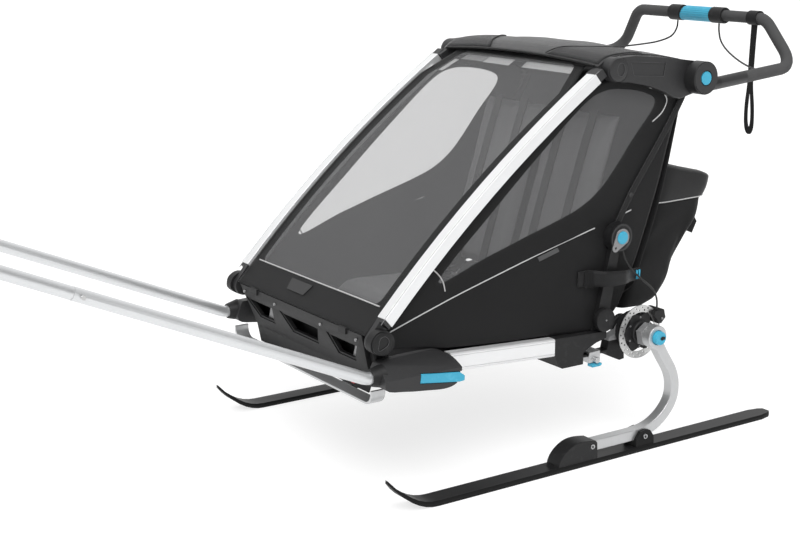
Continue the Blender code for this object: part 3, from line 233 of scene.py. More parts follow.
bluePlastic = plasticFinish("blue plastic", {
    "low": (0.030, 0.330, 0.500), "high": (0.055, 0.430, 0.620), "worn": (0.10, 0.50, 0.68),
    "grain": 900.0, "rough": 0.36, "gloss": 0.5, "depth": 0.00008}).material
redPlastic = plasticFinish("red reflector", {
    "low": (0.30, 0.012, 0.012), "high": (0.42, 0.020, 0.020), "worn": (0.50, 0.05, 0.05),
    "grain": 500.0, "rough": 0.25, "gloss": 0.5, "depth": 0.0002}).material


def armFinish():
    # cast block above, dark rubber and leaf below
    finish = Finish("swing arm", {"Metallic": 0.35, "Specular IOR Level": 0.4})
    _, _, up = finish.axes()
    grain = finish.cloud(500.0, 2.0)
    upper = up.above(0.2640, 0.0012)
    cast = finish.mix((0.30, 0.30, 0.305), (0.42, 0.42, 0.425), grain)
    finish.put("Base Color", finish.mix((0.014, 0.014, 0.0145), cast, upper))
    finish.put("Roughness", 0.42 + grain * 0.12)
    finish.put("Normal", finish.bump(grain, 0.0002, 0.4))
    return finish.material


armCast = armFinish()
print("hard finishes ready")


def foamFinish():
    # charcoal foam on the bar, smooth sleeves by the hubs, plastic hubs
    look = {"foamLow": (0.052, 0.052, 0.053), "foamHigh": (0.082, 0.082, 0.083),
            "sleeve": (0.030, 0.030, 0.031), "hub": (0.018, 0.018, 0.0185),
            "sleeveEnd": 0.343, "hubEnd": 0.2385}
    finish = Finish("handlebar foam", {"Specular IOR Level": 0.35})
    _, along, _ = finish.axes()
    foam = along.above(look["sleeveEnd"] + hubY, 0.0015)
    tube = along.above(look["hubEnd"] + hubY, 0.001)
    cells = finish.node("TexVoronoi", {}, {"Vector": finish.place(), "Scale": 900.0})
    patches = finish.cloud(25.0, 4.0)
    colour = finish.mix(look["foamLow"], look["foamHigh"], patches * 0.7 + cells * 0.4)
    colour = finish.mix(look["sleeve"], colour, foam)
    finish.put("Base Color", finish.mix(look["hub"], colour, tube))
    finish.put("Roughness", 0.44 + foam * 0.38 + patches * 0.06)
    finish.put("Normal", finish.bump(cells * foam, 0.0004, 0.6))
    return finish.material


def skiFinish():
    # graphite top sheet, black edges, fine scratches along the ski
    look = {"top": (0.012, 0.012, 0.0125), "edge": (0.005, 0.005, 0.005), "scratch": (0.034, 0.034, 0.036)}
    finish = Finish("ski top sheet", {"Specular IOR Level": 0.22})
    finish.shader.inputs["Coat Roughness"].default_value = 0.12
    _, _, up = finish.axes()
    flat = finish.node("SeparateXYZ", {}, {0: finish.node("NewGeometry", out="Normal")}, out=2)
    top = flat.above(0.75, 0.15)
    lines = finish.cloud(1.0, 2.0, finish.stretched((900, 5, 900)))
    worn = lines.above(0.68, 0.06) * finish.cloud(9.0, 2.0)
    colour = finish.mix(look["top"], look["scratch"], worn * 0.6)
    finish.put("Base Color", finish.mix(look["edge"], colour, top))
    finish.put("Roughness", 0.42 + lines * 0.12 + (1.0 - top) * 0.10)
    finish.put("Coat Weight", top * 0.06)
    finish.put("Normal", finish.bump(lines, 0.00008, 0.3))
    return finish.material


def cableFinish():
    finish = Finish("cable sleeve", {"Specular IOR Level": 0.45})
    ridges = finish.cloud(1300.0, 1.0)
    finish.put("Base Color", finish.mix((0.012, 0.012, 0.012), (0.024, 0.024, 0.024), ridges))
    finish.put("Roughness", 0.32 + ridges * 0.15)
    return finish.material


handleFoam = foamFinish()
skiBlack = skiFinish()
cableBlack = cableFinish()


# Finishes of the sewn parts

clothLook = {"low": (0.0060, 0.0060, 0.0064), "high": (0.0115, 0.0115, 0.0120), "pitch": 0.0016}


def clothFinish(name, look):
    finish = Finish(name, {"Specular IOR Level": 0.18, "Sheen Weight": look.get("sheen", 0.10),
                           "Sheen Roughness": 0.4})
    threads = finish.weave(look["pitch"])
    flat = finish.place("UV")
    patches = finish.cloud(9.0, 4.0, flat)
    fibres = finish.cloud(700.0, 2.0, flat)
    colour = finish.mix(look["low"], look["high"], patches * 0.7 + threads * 0.15 + fibres * 0.2)
    finish.put("Base Color", colour)
    finish.put("Roughness", look.get("rough", 0.62) + threads * 0.05 + patches * 0.10)
    soft = finish.bump(patches, look.get("fold", 0.004), 0.25)
    finish.put("Normal", finish.bump(threads, 0.0003, 0.5, soft))
    return finish.material


def windowedFinish(name, look):
    # cloth round a sheer window; "pane" is the distance inside the window's edge, in metres
    finish = Finish(name, {"Specular IOR Level": 0.2, "Sheen Weight": 0.08, "Sheen Roughness": 0.4})
    edge = finish.marked("pane")
    pane = edge.above(0.0)
    threads = finish.weave(look["pitch"])
    flat = finish.place("UV")
    patches = finish.cloud(7.0, 4.0, flat)
    across, along, _ = finish.axes("UV")
    cloth = finish.mix(look["low"], look["high"], patches * 0.8 + threads * 0.2)
    stitch = edge.above(-0.0052) * edge.below(-0.0044) * (across + along).wave(look["stitch"]).above(-0.3, 0.3)
    cloth = finish.mix(cloth, look["thread"], stitch * 0.55)
    net = finish.mix(look["netLow"], look["netHigh"], finish.cloud(3.0, 2.0, flat))
    hem = edge.above(-look["hem"]) * edge.below(-0.0002)
    finish.put("Base Color", finish.mix(cloth, net, pane))
    mesh = across.wave(look["netPitch"]) * along.wave(look["netPitch"])
    finish.put("Alpha", 1.0 - pane * (look["clear"] + mesh * 0.03))
    finish.put("Roughness", 0.60 - pane * 0.18 + patches * 0.08)
    soft = finish.bump(patches + hem * 0.25, 0.004, 0.25)
    finish.put("Normal", finish.bump(threads * (1.0 - pane), 0.0003, 0.5, soft))
    return finish.material


windowLook = dict(clothLook, thread=(0.045, 0.045, 0.047), netLow=(0.25, 0.25, 0.255),
                  netHigh=(0.30, 0.30, 0.305), netPitch=0.0022, stitch=0.004, hem=0.009, clear=0.80)
blackCloth = clothFinish("black woven cloth", clothLook)
roofCloth = clothFinish("roof cloth", dict(clothLook, low=(0.044, 0.044, 0.045), high=(0.070, 0.070, 0.071),
                                           sheen=0.35, rough=0.42, fold=0.008))
flapCloth = clothFinish("roof corner cloth", dict(clothLook, low=(0.020, 0.020, 0.021),
                                                  high=(0.034, 0.034, 0.035), sheen=0.2, rough=0.45))
lidCloth = clothFinish("coated lid cloth", dict(clothLook, low=(0.014, 0.014, 0.0145),
                                                high=(0.022, 0.022, 0.0225), rough=0.36, fold=0.008))
greyCloth = clothFinish("grey seat cloth", dict(clothLook, low=(0.125, 0.125, 0.128),
                                                high=(0.180, 0.180, 0.184), pitch=0.0022))
webbing = clothFinish("webbing", dict(clothLook, low=(0.0100, 0.0100, 0.0105), high=(0.0190, 0.0190, 0.0195),
                                      pitch=0.0030, rough=0.5))
sideCloth = windowedFinish("side cloth and window", windowLook)
coverCloth = windowedFinish("front cover cloth and window", dict(windowLook, clear=0.79))


def tapeFinish(name, look):
    # woven reflective tape or piping
    finish = Finish(name, {"Metallic": look["metal"], "Specular IOR Level": 0.5})
    grain = finish.cloud(900.0, 2.0)
    finish.put("Base Color", finish.mix(look["low"], look["high"], grain))
    finish.put("Roughness", look["rough"] + grain * 0.15)
    finish.put("Normal", finish.bump(grain, 0.0001, 0.4))
    return finish.material


piping = tapeFinish("reflective piping", {"low": (0.42, 0.42, 0.42), "high": (0.66, 0.66, 0.66),
                                          "metal": 0.35, "rough": 0.40})
paleTape = tapeFinish("pale tape", {"low": (0.55, 0.55, 0.55), "high": (0.72, 0.72, 0.72),
                                    "metal": 0.1, "rough": 0.5})
greyTape = tapeFinish("grey tape", {"low": (0.26, 0.26, 0.26), "high": (0.36, 0.36, 0.36), "metal": 0.1,
                                    "rough": 0.5})
blueTape = tapeFinish("blue stitched bars", {"low": (0.03, 0.34, 0.55), "high": (0.05, 0.46, 0.66),
                                             "metal": 0.0, "rough": 0.5})
print("cloth finishes ready")


# Shapes

def spot(x, y, z):
    return Vector((x, y + hubY, z))


def smoothRoute(points, cuts=6, closed=False):
    # a rounded route through the points, which may be flat or in space
    count = len(points)
    corners = [Vector(p) for p in points]

    def corner(i):
        return corners[i % count] if closed else corners[max(0, min(count - 1, i))]

    route = []
    for i in range(count if closed else count - 1):
        a, b, c, d = (corner(i + k) for k in (-1, 0, 1, 2))
        for step in range(cuts):
            t = step / cuts
            route.append(0.5 * (2 * b + (c - a) * t + (2 * a - 5 * b + 4 * c - d) * t ** 2
                                + (3 * b - a - 3 * c + d) * t ** 3))
    if not closed:
        route.append(corners[-1])
    return route


def pacer(route):
    # a function from 0..1 to the point that far along the route
    reach = [0.0]
    for a, b in zip(route, route[1:]):
        reach.append(reach[-1] + (b - a).length)

    def at(share):
        goal = max(0.0, min(1.0, share)) * reach[-1]
        for i in range(len(route) - 1):
            if reach[i + 1] >= goal:
                span = reach[i + 1] - reach[i] or 1.0
                return route[i].lerp(route[i + 1], (goal - reach[i]) / span)
        return route[-1].copy()

    return at


def patchOf(bottom, top, front, rear):
    # the curved patch between four edges, each a pacer; bottom and top run from front to rear
    c00, c10, c01, c11 = bottom(0), bottom(1), top(0), top(1)

    def at(u, v):
        ruled = bottom(u) * (1 - v) + top(u) * v + front(v) * (1 - u) + rear(v) * u
        return ruled - (c00 * (1 - u) * (1 - v) + c10 * u * (1 - v) + c01 * (1 - u) * v + c11 * u * v)

    return at


def insideBy(points, outline):
    # how far each flat point is inside a closed outline, below 0 outside
    p = np.array([tuple(q)[:2] for q in points])
    o = np.array([tuple(q)[:2] for q in outline])
    a, b = o, np.roll(o, -1, axis=0)
    ab = b - a
    t = np.clip(((p[:, None] - a) * ab).sum(2) / np.maximum((ab ** 2).sum(1), 1e-12), 0, 1)
    gap = np.linalg.norm(p[:, None] - (a + t[..., None] * ab), axis=2).min(1)
    crosses = (a[:, 1] > p[:, None, 1]) != (b[:, 1] > p[:, None, 1])
    rise = np.where(ab[:, 1] == 0, 1e-12, ab[:, 1])
    meets = p[:, None, 0] < a[:, 0] + (p[:, None, 1] - a[:, 1]) * ab[:, 0] / rise
    inside = (crosses & meets).sum(1) % 2 == 1
    return np.where(inside, gap, -gap)


def shaded(mesh, sharp=None):
    # smooth faces, with the edges over an angle kept hard
    mesh.polygons.foreach_set("use_smooth", [True] * len(mesh.polygons))
    if sharp:
        mesh.set_sharp_from_angle(angle=math.radians(sharp))
    return mesh


def linked(name, mesh, finish):
    piece = bpy.data.objects.new(name, mesh)
    bpy.context.scene.collection.objects.link(piece)
    mesh.materials.clear()
    mesh.materials.append(finish)
    return piece


def finished(name, shape, finish, sharp=None):
    # a bmesh becomes a smooth shaded piece
    mesh = bpy.data.meshes.new(name)
    shape.to_mesh(mesh)
    shape.free()
    return linked(name, shaded(mesh, sharp), finish)


def walled(piece, thickness, offset=-1.0):
    wall = piece.modifiers.new("wall", "SOLIDIFY")
    wall.thickness = thickness
    wall.offset = offset
    return piece


def gridSheet(name, counts, placeAt, finish, marks=None, flatAt=None):
    # a sheet whose grid is laid on a surface by placeAt(u, v); its flat map is in metres
    shape = bmesh.new()
    flatMap = shape.loops.layers.uv.new("Flat")
    layers = {key: shape.verts.layers.float.new(key) for key in (marks or {})}
    bmesh.ops.create_grid(shape, x_segments=counts[0], y_segments=counts[1], size=0.5)
    shares = {v: (v.co.x + 0.5, v.co.y + 0.5) for v in shape.verts}
    for v, (u, w) in shares.items():
        v.co = placeAt(u, w)
    for key, rule in (marks or {}).items():
        values = rule([shares[v] for v in shape.verts], [v.co for v in shape.verts])
        for v, value in zip(shape.verts, values):
            v[layers[key]] = float(value)
    wide = (placeAt(1, 0.5) - placeAt(0, 0.5)).length
    tall = (placeAt(0.5, 1) - placeAt(0.5, 0)).length
    for face in shape.faces:
        for loop in face.loops:
            u, w = shares[loop.vert]
            loop[flatMap].uv = flatAt(loop.vert.co) if flatAt else (u * wide, w * tall)
    return finished(name, shape, finish)


def turnOut(piece, direction):
    # the sheet's faces look along a direction
    mesh = piece.data
    total = Vector((0, 0, 0))
    for polygon in mesh.polygons:
        total += polygon.normal * polygon.area
    if total.dot(direction) < 0:
        mesh.flip_normals()
    return piece


def tubeAlong(name, route, radius, finish, closed=False, rings=3):
    curve = bpy.data.curves.new(name, "CURVE")
    curve.dimensions = "3D"
    curve.bevel_depth = radius
    curve.bevel_resolution = rings
    curve.use_fill_caps = not closed
    spline = curve.splines.new("POLY")
    spline.points.add(len(route) - 1)
    for point, place in zip(spline.points, route):
        point.co = (*place, 1.0)
    spline.use_cyclic_u = closed
    holder = bpy.data.objects.new(name + "Route", curve)
    bpy.context.scene.collection.objects.link(holder)
    mesh = bpy.data.meshes.new_from_object(holder.evaluated_get(bpy.context.evaluated_depsgraph_get()))
    bpy.data.objects.remove(holder)
    bpy.data.curves.remove(curve)
    mesh.name = name
    return linked(name, shaded(mesh), finish)


def prism(outline, low, high, axis="x"):
    # an outline given as flat points, extruded between two places on an axis
    shape = bmesh.new()
    order = "xyz".index(axis)
    corners = [shape.verts.new(spot(*p[:order], low, *p[order:])) for p in outline]
    push = Vector([high - low if i == order else 0 for i in range(3)])
    face = shape.faces.new(corners)
    grown = bmesh.ops.extrude_face_region(shape, geom=[face])
    moved = [g for g in grown["geom"] if isinstance(g, bmesh.types.BMVert)]
    bmesh.ops.translate(shape, verts=moved, vec=push)
    bmesh.ops.recalc_face_normals(shape, faces=shape.faces)
    return shape


def rounded(piece, width, segments=2, angle=32):
    edge = piece.modifiers.new("rounded edges", "BEVEL")
    edge.width = width
    edge.segments = segments
    edge.limit_method = "ANGLE"
    edge.angle_limit = math.radians(angle)
    edge.harden_normals = True
    return piece


def carve(piece, cutters):
    # the cutters are taken out of the piece, and the result is its mesh
    holders = []
    for i, shape in enumerate(cutters):
        mesh = bpy.data.meshes.new("cutter")
        shape.to_mesh(mesh)
        shape.free()
        holder = bpy.data.objects.new("cutter", mesh)
        bpy.context.scene.collection.objects.link(holder)
        step = piece.modifiers.new("carve", "BOOLEAN")
        step.operation = "DIFFERENCE"
        step.solver = "EXACT"
        step.object = holder
        holders.append(holder)
    made = bpy.data.meshes.new_from_object(piece.evaluated_get(bpy.context.evaluated_depsgraph_get()))
    piece.modifiers.clear()
    piece.data = made
    for holder in holders:
        bpy.data.objects.remove(holder)
    return piece


def sideways(sign, first, second):
    # two places on X for one side of the trailer, the lower value first
    return sorted((sign * first, sign * second))


hardEdge = 32  # degrees between two faces above which the edge of a turned or cut part stays sharp


def circlePoints(centre, radius, count=32, start=0.0):
    return [(centre[0] + radius * math.cos(start + 2 * math.pi * i / count),
             centre[1] + radius * math.sin(start + 2 * math.pi * i / count)) for i in range(count)]


def lathe(name, profile, centre, sign, finish, steps=48, ring=False):
    # a (radius, x) profile spun round an X axis through a lengthwise and upward centre
    shape = bmesh.new()
    line = [shape.verts.new(spot(sign * x, centre[0], centre[1] + r)) for r, x in profile]
    edges = [shape.edges.new(pair) for pair in zip(line, line[1:] + (line[:1] if ring else []))]
    bmesh.ops.spin(shape, geom=line + edges, cent=spot(0, *centre), axis=(1, 0, 0), dvec=(0, 0, 0),
                   angle=2 * math.pi, steps=steps, use_merge=True)
    bmesh.ops.remove_doubles(shape, verts=shape.verts, dist=0.00002)
    bmesh.ops.recalc_face_normals(shape, faces=shape.faces)
    return finished(name, shape, finish, hardEdge)


def disc(name, centre, radius, low, high, sign, finish, edge=0.0015, dip=0.0):
    # a round boss along X with a rounded rim and a slightly dished or domed face
    profile = [(0, low), (radius, low), (radius, high - edge), (radius - edge * 0.3, high - edge * 0.3),
               (radius - edge, high), (radius * 0.6, high - dip * 0.7), (0, high - dip)]
    return lathe(name, profile, centre, sign, finish)


def riding(body, *pieces):
    for piece in pieces:
        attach(piece, body)


def strapAlong(name, middle, wide, finish, thick):
    # a flat strap through points, each with half its width as a vector across it
    route = smoothRoute(middle, 5)
    across = smoothRoute(wide, 5)
    shape = bmesh.new()
    flatMap = shape.loops.layers.uv.new("Flat")
    reach = 0.0
    rows = []
    for i, (centre, half) in enumerate(zip(route, across)):
        reach += (centre - route[i - 1]).length if i else 0.0
        rows.append((reach, [shape.verts.new(centre + half * k) for k in (-1, -0.5, 0, 0.5, 1)]))
    for (before, near), (after, far) in zip(rows, rows[1:]):
        for i in range(4):
            face = shape.faces.new((near[i], near[i + 1], far[i + 1], far[i]))
            for loop, place in zip(face.loops, ((i, before), (i + 1, before), (i + 1, after), (i, after))):
                loop[flatMap].uv = (place[0] * 0.006, place[1])
    return walled(finished(name, shape, finish), thick, 0.0)


def grooves(outline, width, reach, low, high):
    # cutters for a narrow channel along an open flat line, between two places on X
    side = []
    for i, point in enumerate(outline):
        before, after = outline[max(i - 1, 0)], outline[min(i + 1, len(outline) - 1)]
        along = (Vector(after) - Vector(before)).normalized()
        side.append(Vector((-along.y, along.x)))
    near = [Vector(p) + s * reach for p, s in zip(outline, side)]
    far = [Vector(p) + s * (reach + width) for p, s in zip(outline, side)]
    return prism([tuple(p) for p in near + far[::-1]], low, high)


def refined(node, finish, width=0.001, segments=2, cutters=(), angle=33, flat=False):
    # the node's own shape with its hard edges rounded, as a piece in its place
    shape = bmesh.new()
    shape.from_mesh(nodes[node].data)
    bmesh.ops.remove_doubles(shape, verts=shape.verts, dist=0.00001)
    bmesh.ops.dissolve_limit(shape, angle_limit=math.radians(0.5), verts=shape.verts, edges=shape.edges)
    if flat:
        flatMap = shape.loops.layers.uv.new("Flat")
        for face in shape.faces:
            for loop in face.loops:
                loop[flatMap].uv = (loop.vert.co.x, loop.vert.co.z + loop.vert.co.y)
    words = node.split("_")
    piece = finished(words[0] + "".join(w.title() for w in words[1:]), shape, finish)
    if cutters:
        shaded(carve(piece, cutters).data)
    piece.data.set_sharp_from_angle(angle=math.radians(angle))
    rounded(piece, width, segments, angle)
    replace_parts(piece, node)
    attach(piece, bodyOf[node])
    return piece


bodyOf = {node: body for body, members in frame["record"]["behaviour"]["bodies"].items() for node in members}


def bothSides():
    return (("Left", "left", 1), ("Right", "right", -1))


# Lines of the frame as flat points: lengthwise from the hubs' axis, and height above the floor

frontPivot = Vector((-0.778, 0.379))
topPivot = Vector((-0.090, 0.962))
kneePoint = Vector((-0.063, 0.542))
handlePoint = Vector((0.174, 0.929))
barChord = (topPivot - frontPivot).length
barAlong = (topPivot - frontPivot).normalized()
barAhead = Vector((-barAlong.y, barAlong.x))  # towards the front and up, square to the side bar


def barPoint(distance, extra):
    # a point along the bowed side bar, at an extra offset forwards from its rear edge
    share = distance / barChord
    return frontPivot + barAlong * distance + barAhead * (0.003 + 0.12 * share * (1 - share) + extra)


# Hard parts that keep their modelled shape

hardParts = {
    "pole_rear": (poleSilver, "anodised_silver", 0.0006, 2),
    "pole_front": (poleSilver, "anodised_silver", 0.0006, 2), "pole_pin": (steel, "steel", 0.0005, 2),
    "lower_socket": (satinPlastic, "black_plastic", 0.0018, 3),
    "rear_leg": (blackPlastic, "black_plastic", 0.0020, 3),
    "handlebar_button": (bluePlastic, "blue_plastic", 0.0010, 3),
    "swing_arm": (armCast, "cast_grey", 0.0012, 2), "leaf_clamp": (strutSilver, "anodised_silver", 0.0010, 2),
    "caliper": (blackPlastic, "black_plastic", 0.0010, 2),
}
for part, (finish, slot, width, segments) in hardParts.items():
    for _, side, _ in bothSides():
        refined(f"{part}_{side}", finish, width, segments)
for part, (finish, slot, width, segments) in {
        "floor_pan": (blackPlastic, "black_plastic", 0.0012, 2),
        "rear_crossmember": (blackPlastic, "black_plastic", 0.0020, 3),
        "top_front_bar": (satinPlastic, "black_plastic", 0.0018, 3),
        "rear_frame": (blackPlastic, "black_plastic", 0.0010, 2),
        "handlebar": (handleFoam, "handle_foam", 0.0045, 5),
        "brake_controls": (blackPlastic, "black_plastic", 0.0022, 3)}.items():
    refined(part, finish, width, segments)
for _, side, _ in bothSides():
    straps = refined(f"harness_{side}", webbing, 0.0006, 2, flat=True)
    spot(0, 0, 0.374)
    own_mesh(straps)
    for part in ("upper_cable", "lower_cable"):
        nodes[f"{part}_{side}"].data.materials.clear()
        nodes[f"{part}_{side}"].data.materials.append(cableBlack)


# Side bars and rails with their long grooves

barLook = {"depth": 0.0275, "deep": 0.0022, "slot": (0.3408, 0.3436)}
railLook = {"outer": 0.346, "groove": 0.0013, "deep": 0.0014, "inset": 0.0075}
for name, side, sign in bothSides():
    ends = sideways(sign, *barLook["slot"])
    line = [tuple(barPoint(0.03 + 0.0415 * i, barLook["depth"] - barLook["deep"])) for i in range(21)]
    refined(f"side_bar_{side}", silver, 0.0010, 3,
            [grooves(line, 0.006, 0.0, *ends)])
    # a grey strip in the groove's bottom is painted shade: it draws the groove as a thin dark line
    ends = sideways(sign, barLook["slot"][0] + 0.0003, barLook["slot"][1] - 0.0003)
    strip = finished("barLine" + name, grooves(line, 0.0011, -0.0004, *ends), castGrey)
    riding("front_frame", strip)
    ends = sideways(sign, railLook["outer"] - railLook["deep"], railLook["outer"] + 0.01)
    cuts = []
    for drop in (railLook["inset"], 0.0455 - railLook["inset"]):
        top = [(y, 0.3070 - 0.0545 * (y + 0.2635) - drop) for y in (-0.60, -0.43, -0.25)]
        cuts.append(grooves(top, railLook["groove"], -railLook["groove"] / 2, *ends))
    refined(f"side_rail_{side}", silver, 0.0010, 2, cuts, angle=28)


# Struts: a bowed bar, its round eye, and the grey key block behind it

strutLook = {"inner": 0.406, "outer": 0.434, "half": 0.01375, "eye": 0.0302, "edge": 0.0022}
strutLine = [(0.0, 0.2895), (0.0125, 0.2605), (0.0310, 0.2310), (0.0530, 0.1980), (0.0650, 0.1690),
             (0.0680, 0.1430), (0.0645, 0.1190), (0.0525, 0.0965), (0.0335, 0.0765), (0.0100, 0.0605),
             (-0.0150, 0.0500), (-0.0450, 0.0437), (-0.080, 0.042), (-0.180, 0.042), (-0.268, 0.042)]
hubPoint = (0.0, 0.2895)
for name, side, sign in bothSides():
    route = smoothRoute([Vector(p) for p in strutLine], 4)
    flanks = [[], []]
    for i, point in enumerate(route):
        along = (route[min(i + 1, len(route) - 1)] - route[max(i - 1, 0)]).normalized()
        for k, flank in enumerate(flanks):
            flank.append(tuple(point + Vector((-along.y, along.x)) * strutLook["half"] * (1 - 2 * k)))
    eye = circlePoints(hubPoint, strutLook["eye"], 40, math.radians(-150))
    eye = [p for p in eye if p[1] > hubPoint[1] - 0.0225]
    ends = sideways(sign, strutLook["inner"], strutLook["outer"])
    left = [p for p in flanks[0] if math.dist(p, hubPoint) > strutLook["eye"] + 0.002]
    right = [p for p in flanks[1] if math.dist(p, hubPoint) > strutLook["eye"] + 0.002]
    eye = sorted(eye, key=lambda p: math.atan2(-(p[0] - hubPoint[0]), p[1] - hubPoint[1]))
    if (Vector(eye[0]) - Vector(left[0])).length > (Vector(eye[-1]) - Vector(left[0])).length:
        eye.reverse()
    strut = finished("skiStrut" + name, prism(left[::-1] + eye + right, *ends), strutSilver)
    well = prism(circlePoints(hubPoint, 0.0182, 40), *sideways(sign, 0.4085, 0.46))
    carve(strut, [well])
    shaded(strut.data, 35)
    rounded(strut, strutLook["edge"], 4, 35)
    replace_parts(strut, f"ski_strut_{side}")
    key = prism([(0.0300, 0.2975), (-0.0020, 0.3205), (-0.0315, 0.3010), (-0.0240, 0.2660), (0.0200, 0.2640)],
                *sideways(sign, 0.3855, 0.4062))
    key = rounded(finished("strutKey" + name, key, castGrey), 0.0012, 2)
    cap = disc("hubCap" + name, hubPoint, 0.0175, 0.4125, 0.4465, sign, bluePlastic, 0.0030,
               0.0012)
    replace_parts(cap, f"hub_cap_{side}")
    slot = prism([(0.002, 0.2845), (0.0135, 0.2865), (0.0135, 0.2925), (0.002, 0.2945), (-0.0035, 0.2895)],
                 *sideways(sign, 0.4462, 0.4468))
    slot = finished("hubCapMark" + name, slot, blackPlastic)
    riding(f"swing_arm_{side}", strut, key)
    riding(f"hub_cap_{side}", cap, slot)
print("bars, rails and struts ready")


# Hubs: drilled rotor, lobed spider and the drum behind it

rotorLook = {"outer": 0.070, "inner": 0.0515, "low": 0.3645, "high": 0.3668, "rows": (0.0572, 0.0645),
             "count": 19, "hole": 0.0025, "spider": 0.0478, "lobe": 0.0062, "bolts": 0.0385}
for name, side, sign in bothSides():
    low, high = rotorLook["low"], rotorLook["high"]
    rotor = lathe("rotor" + name, [(rotorLook["inner"], low), (rotorLook["outer"], low),
                                   (rotorLook["outer"], high), (rotorLook["inner"], high)], hubPoint, sign,
                  steel, 72, True)
    drills = bmesh.new()
    for row, radius in enumerate(rotorLook["rows"]):
        for i in range(rotorLook["count"]):
            angle = 2 * math.pi * (i + row / 2) / rotorLook["count"]
            at = spot(sign * (low + high) / 2, radius * math.cos(angle), hubPoint[1] + radius * math.sin(angle))
            bmesh.ops.create_cone(drills, cap_ends=True, segments=10, radius1=rotorLook["hole"],
                                  radius2=rotorLook["hole"], depth=0.01,
                                  matrix=Matrix.Translation(at) @ Matrix.Rotation(math.pi / 2, 4, "Y"))
    carve(rotor, [drills])
    rotor.data.set_sharp_from_angle(angle=math.radians(hardEdge))
    lobes = []
    for i in range(60):
        angle = 2 * math.pi * i / 60
        radius = rotorLook["spider"] + rotorLook["lobe"] * math.cos(6 * angle)
        lobes.append((radius * math.cos(angle), hubPoint[1] + radius * math.sin(angle)))
    spider = prism(lobes, *sideways(sign, 0.3625, 0.3676))
    spider = rounded(finished("spider" + name, spider, blackPlastic, sharp=35), 0.0008, 2)
    drum = lathe("drum" + name, [(0.0125, 0.3395), (0.0440, 0.3395), (0.0462, 0.3415), (0.0462, 0.3600),
                                 (0.0300, 0.3660), (0.0300, 0.3735), (0.0270, 0.3760), (0.0125, 0.3760)],
                 hubPoint, sign, blackPlastic, 48, True)
    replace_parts(rotor, f"hub_{side}")
    riding(f"hub_{side}", rotor, spider, drum)
    for i in range(6):
        angle = math.radians(60 * i + 30)
        at = (rotorLook["bolts"] * math.cos(angle), hubPoint[1] + rotorLook["bolts"] * math.sin(angle))
        bolt = disc(f"rotorBolt{name}{i}", at, 0.0026, 0.3672, 0.3684, sign, castGrey, 0.0004)
        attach(bolt, f"hub_{side}")
    bolt = disc("caliperBolt" + name, (0.0640, 0.3180), 0.0034, 0.3795, 0.3818, sign, castGrey,
                0.0006, 0.0008)
    inner = lathe("innerHub" + name, [(0.0085, 0.2860), (0.0295, 0.2860), (0.0310, 0.2880), (0.0310, 0.2960),
                                      (0.0290, 0.2985), (0.0110, 0.2985), (0.0110, 0.3390), (0.0085, 0.3390)],
                  hubPoint, sign, blackPlastic, 40, True)
    riding(f"swing_arm_{side}", bolt, inner)
    lever = prism([(-0.1280, 0.2060), (-0.1020, 0.2060), (-0.0950, 0.2085), (-0.0950, 0.2140),
                   (-0.1080, 0.2155), (-0.1280, 0.2150)], *sideways(sign, 0.3140, 0.3340))
    lever = rounded(finished("clampLever" + name, lever, bluePlastic), 0.0020, 3)
    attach(lever, f"leaf_clamp_{side}")
print("hubs ready")


# Tow brackets: a drop-shaped housing with a round mouth for the pole

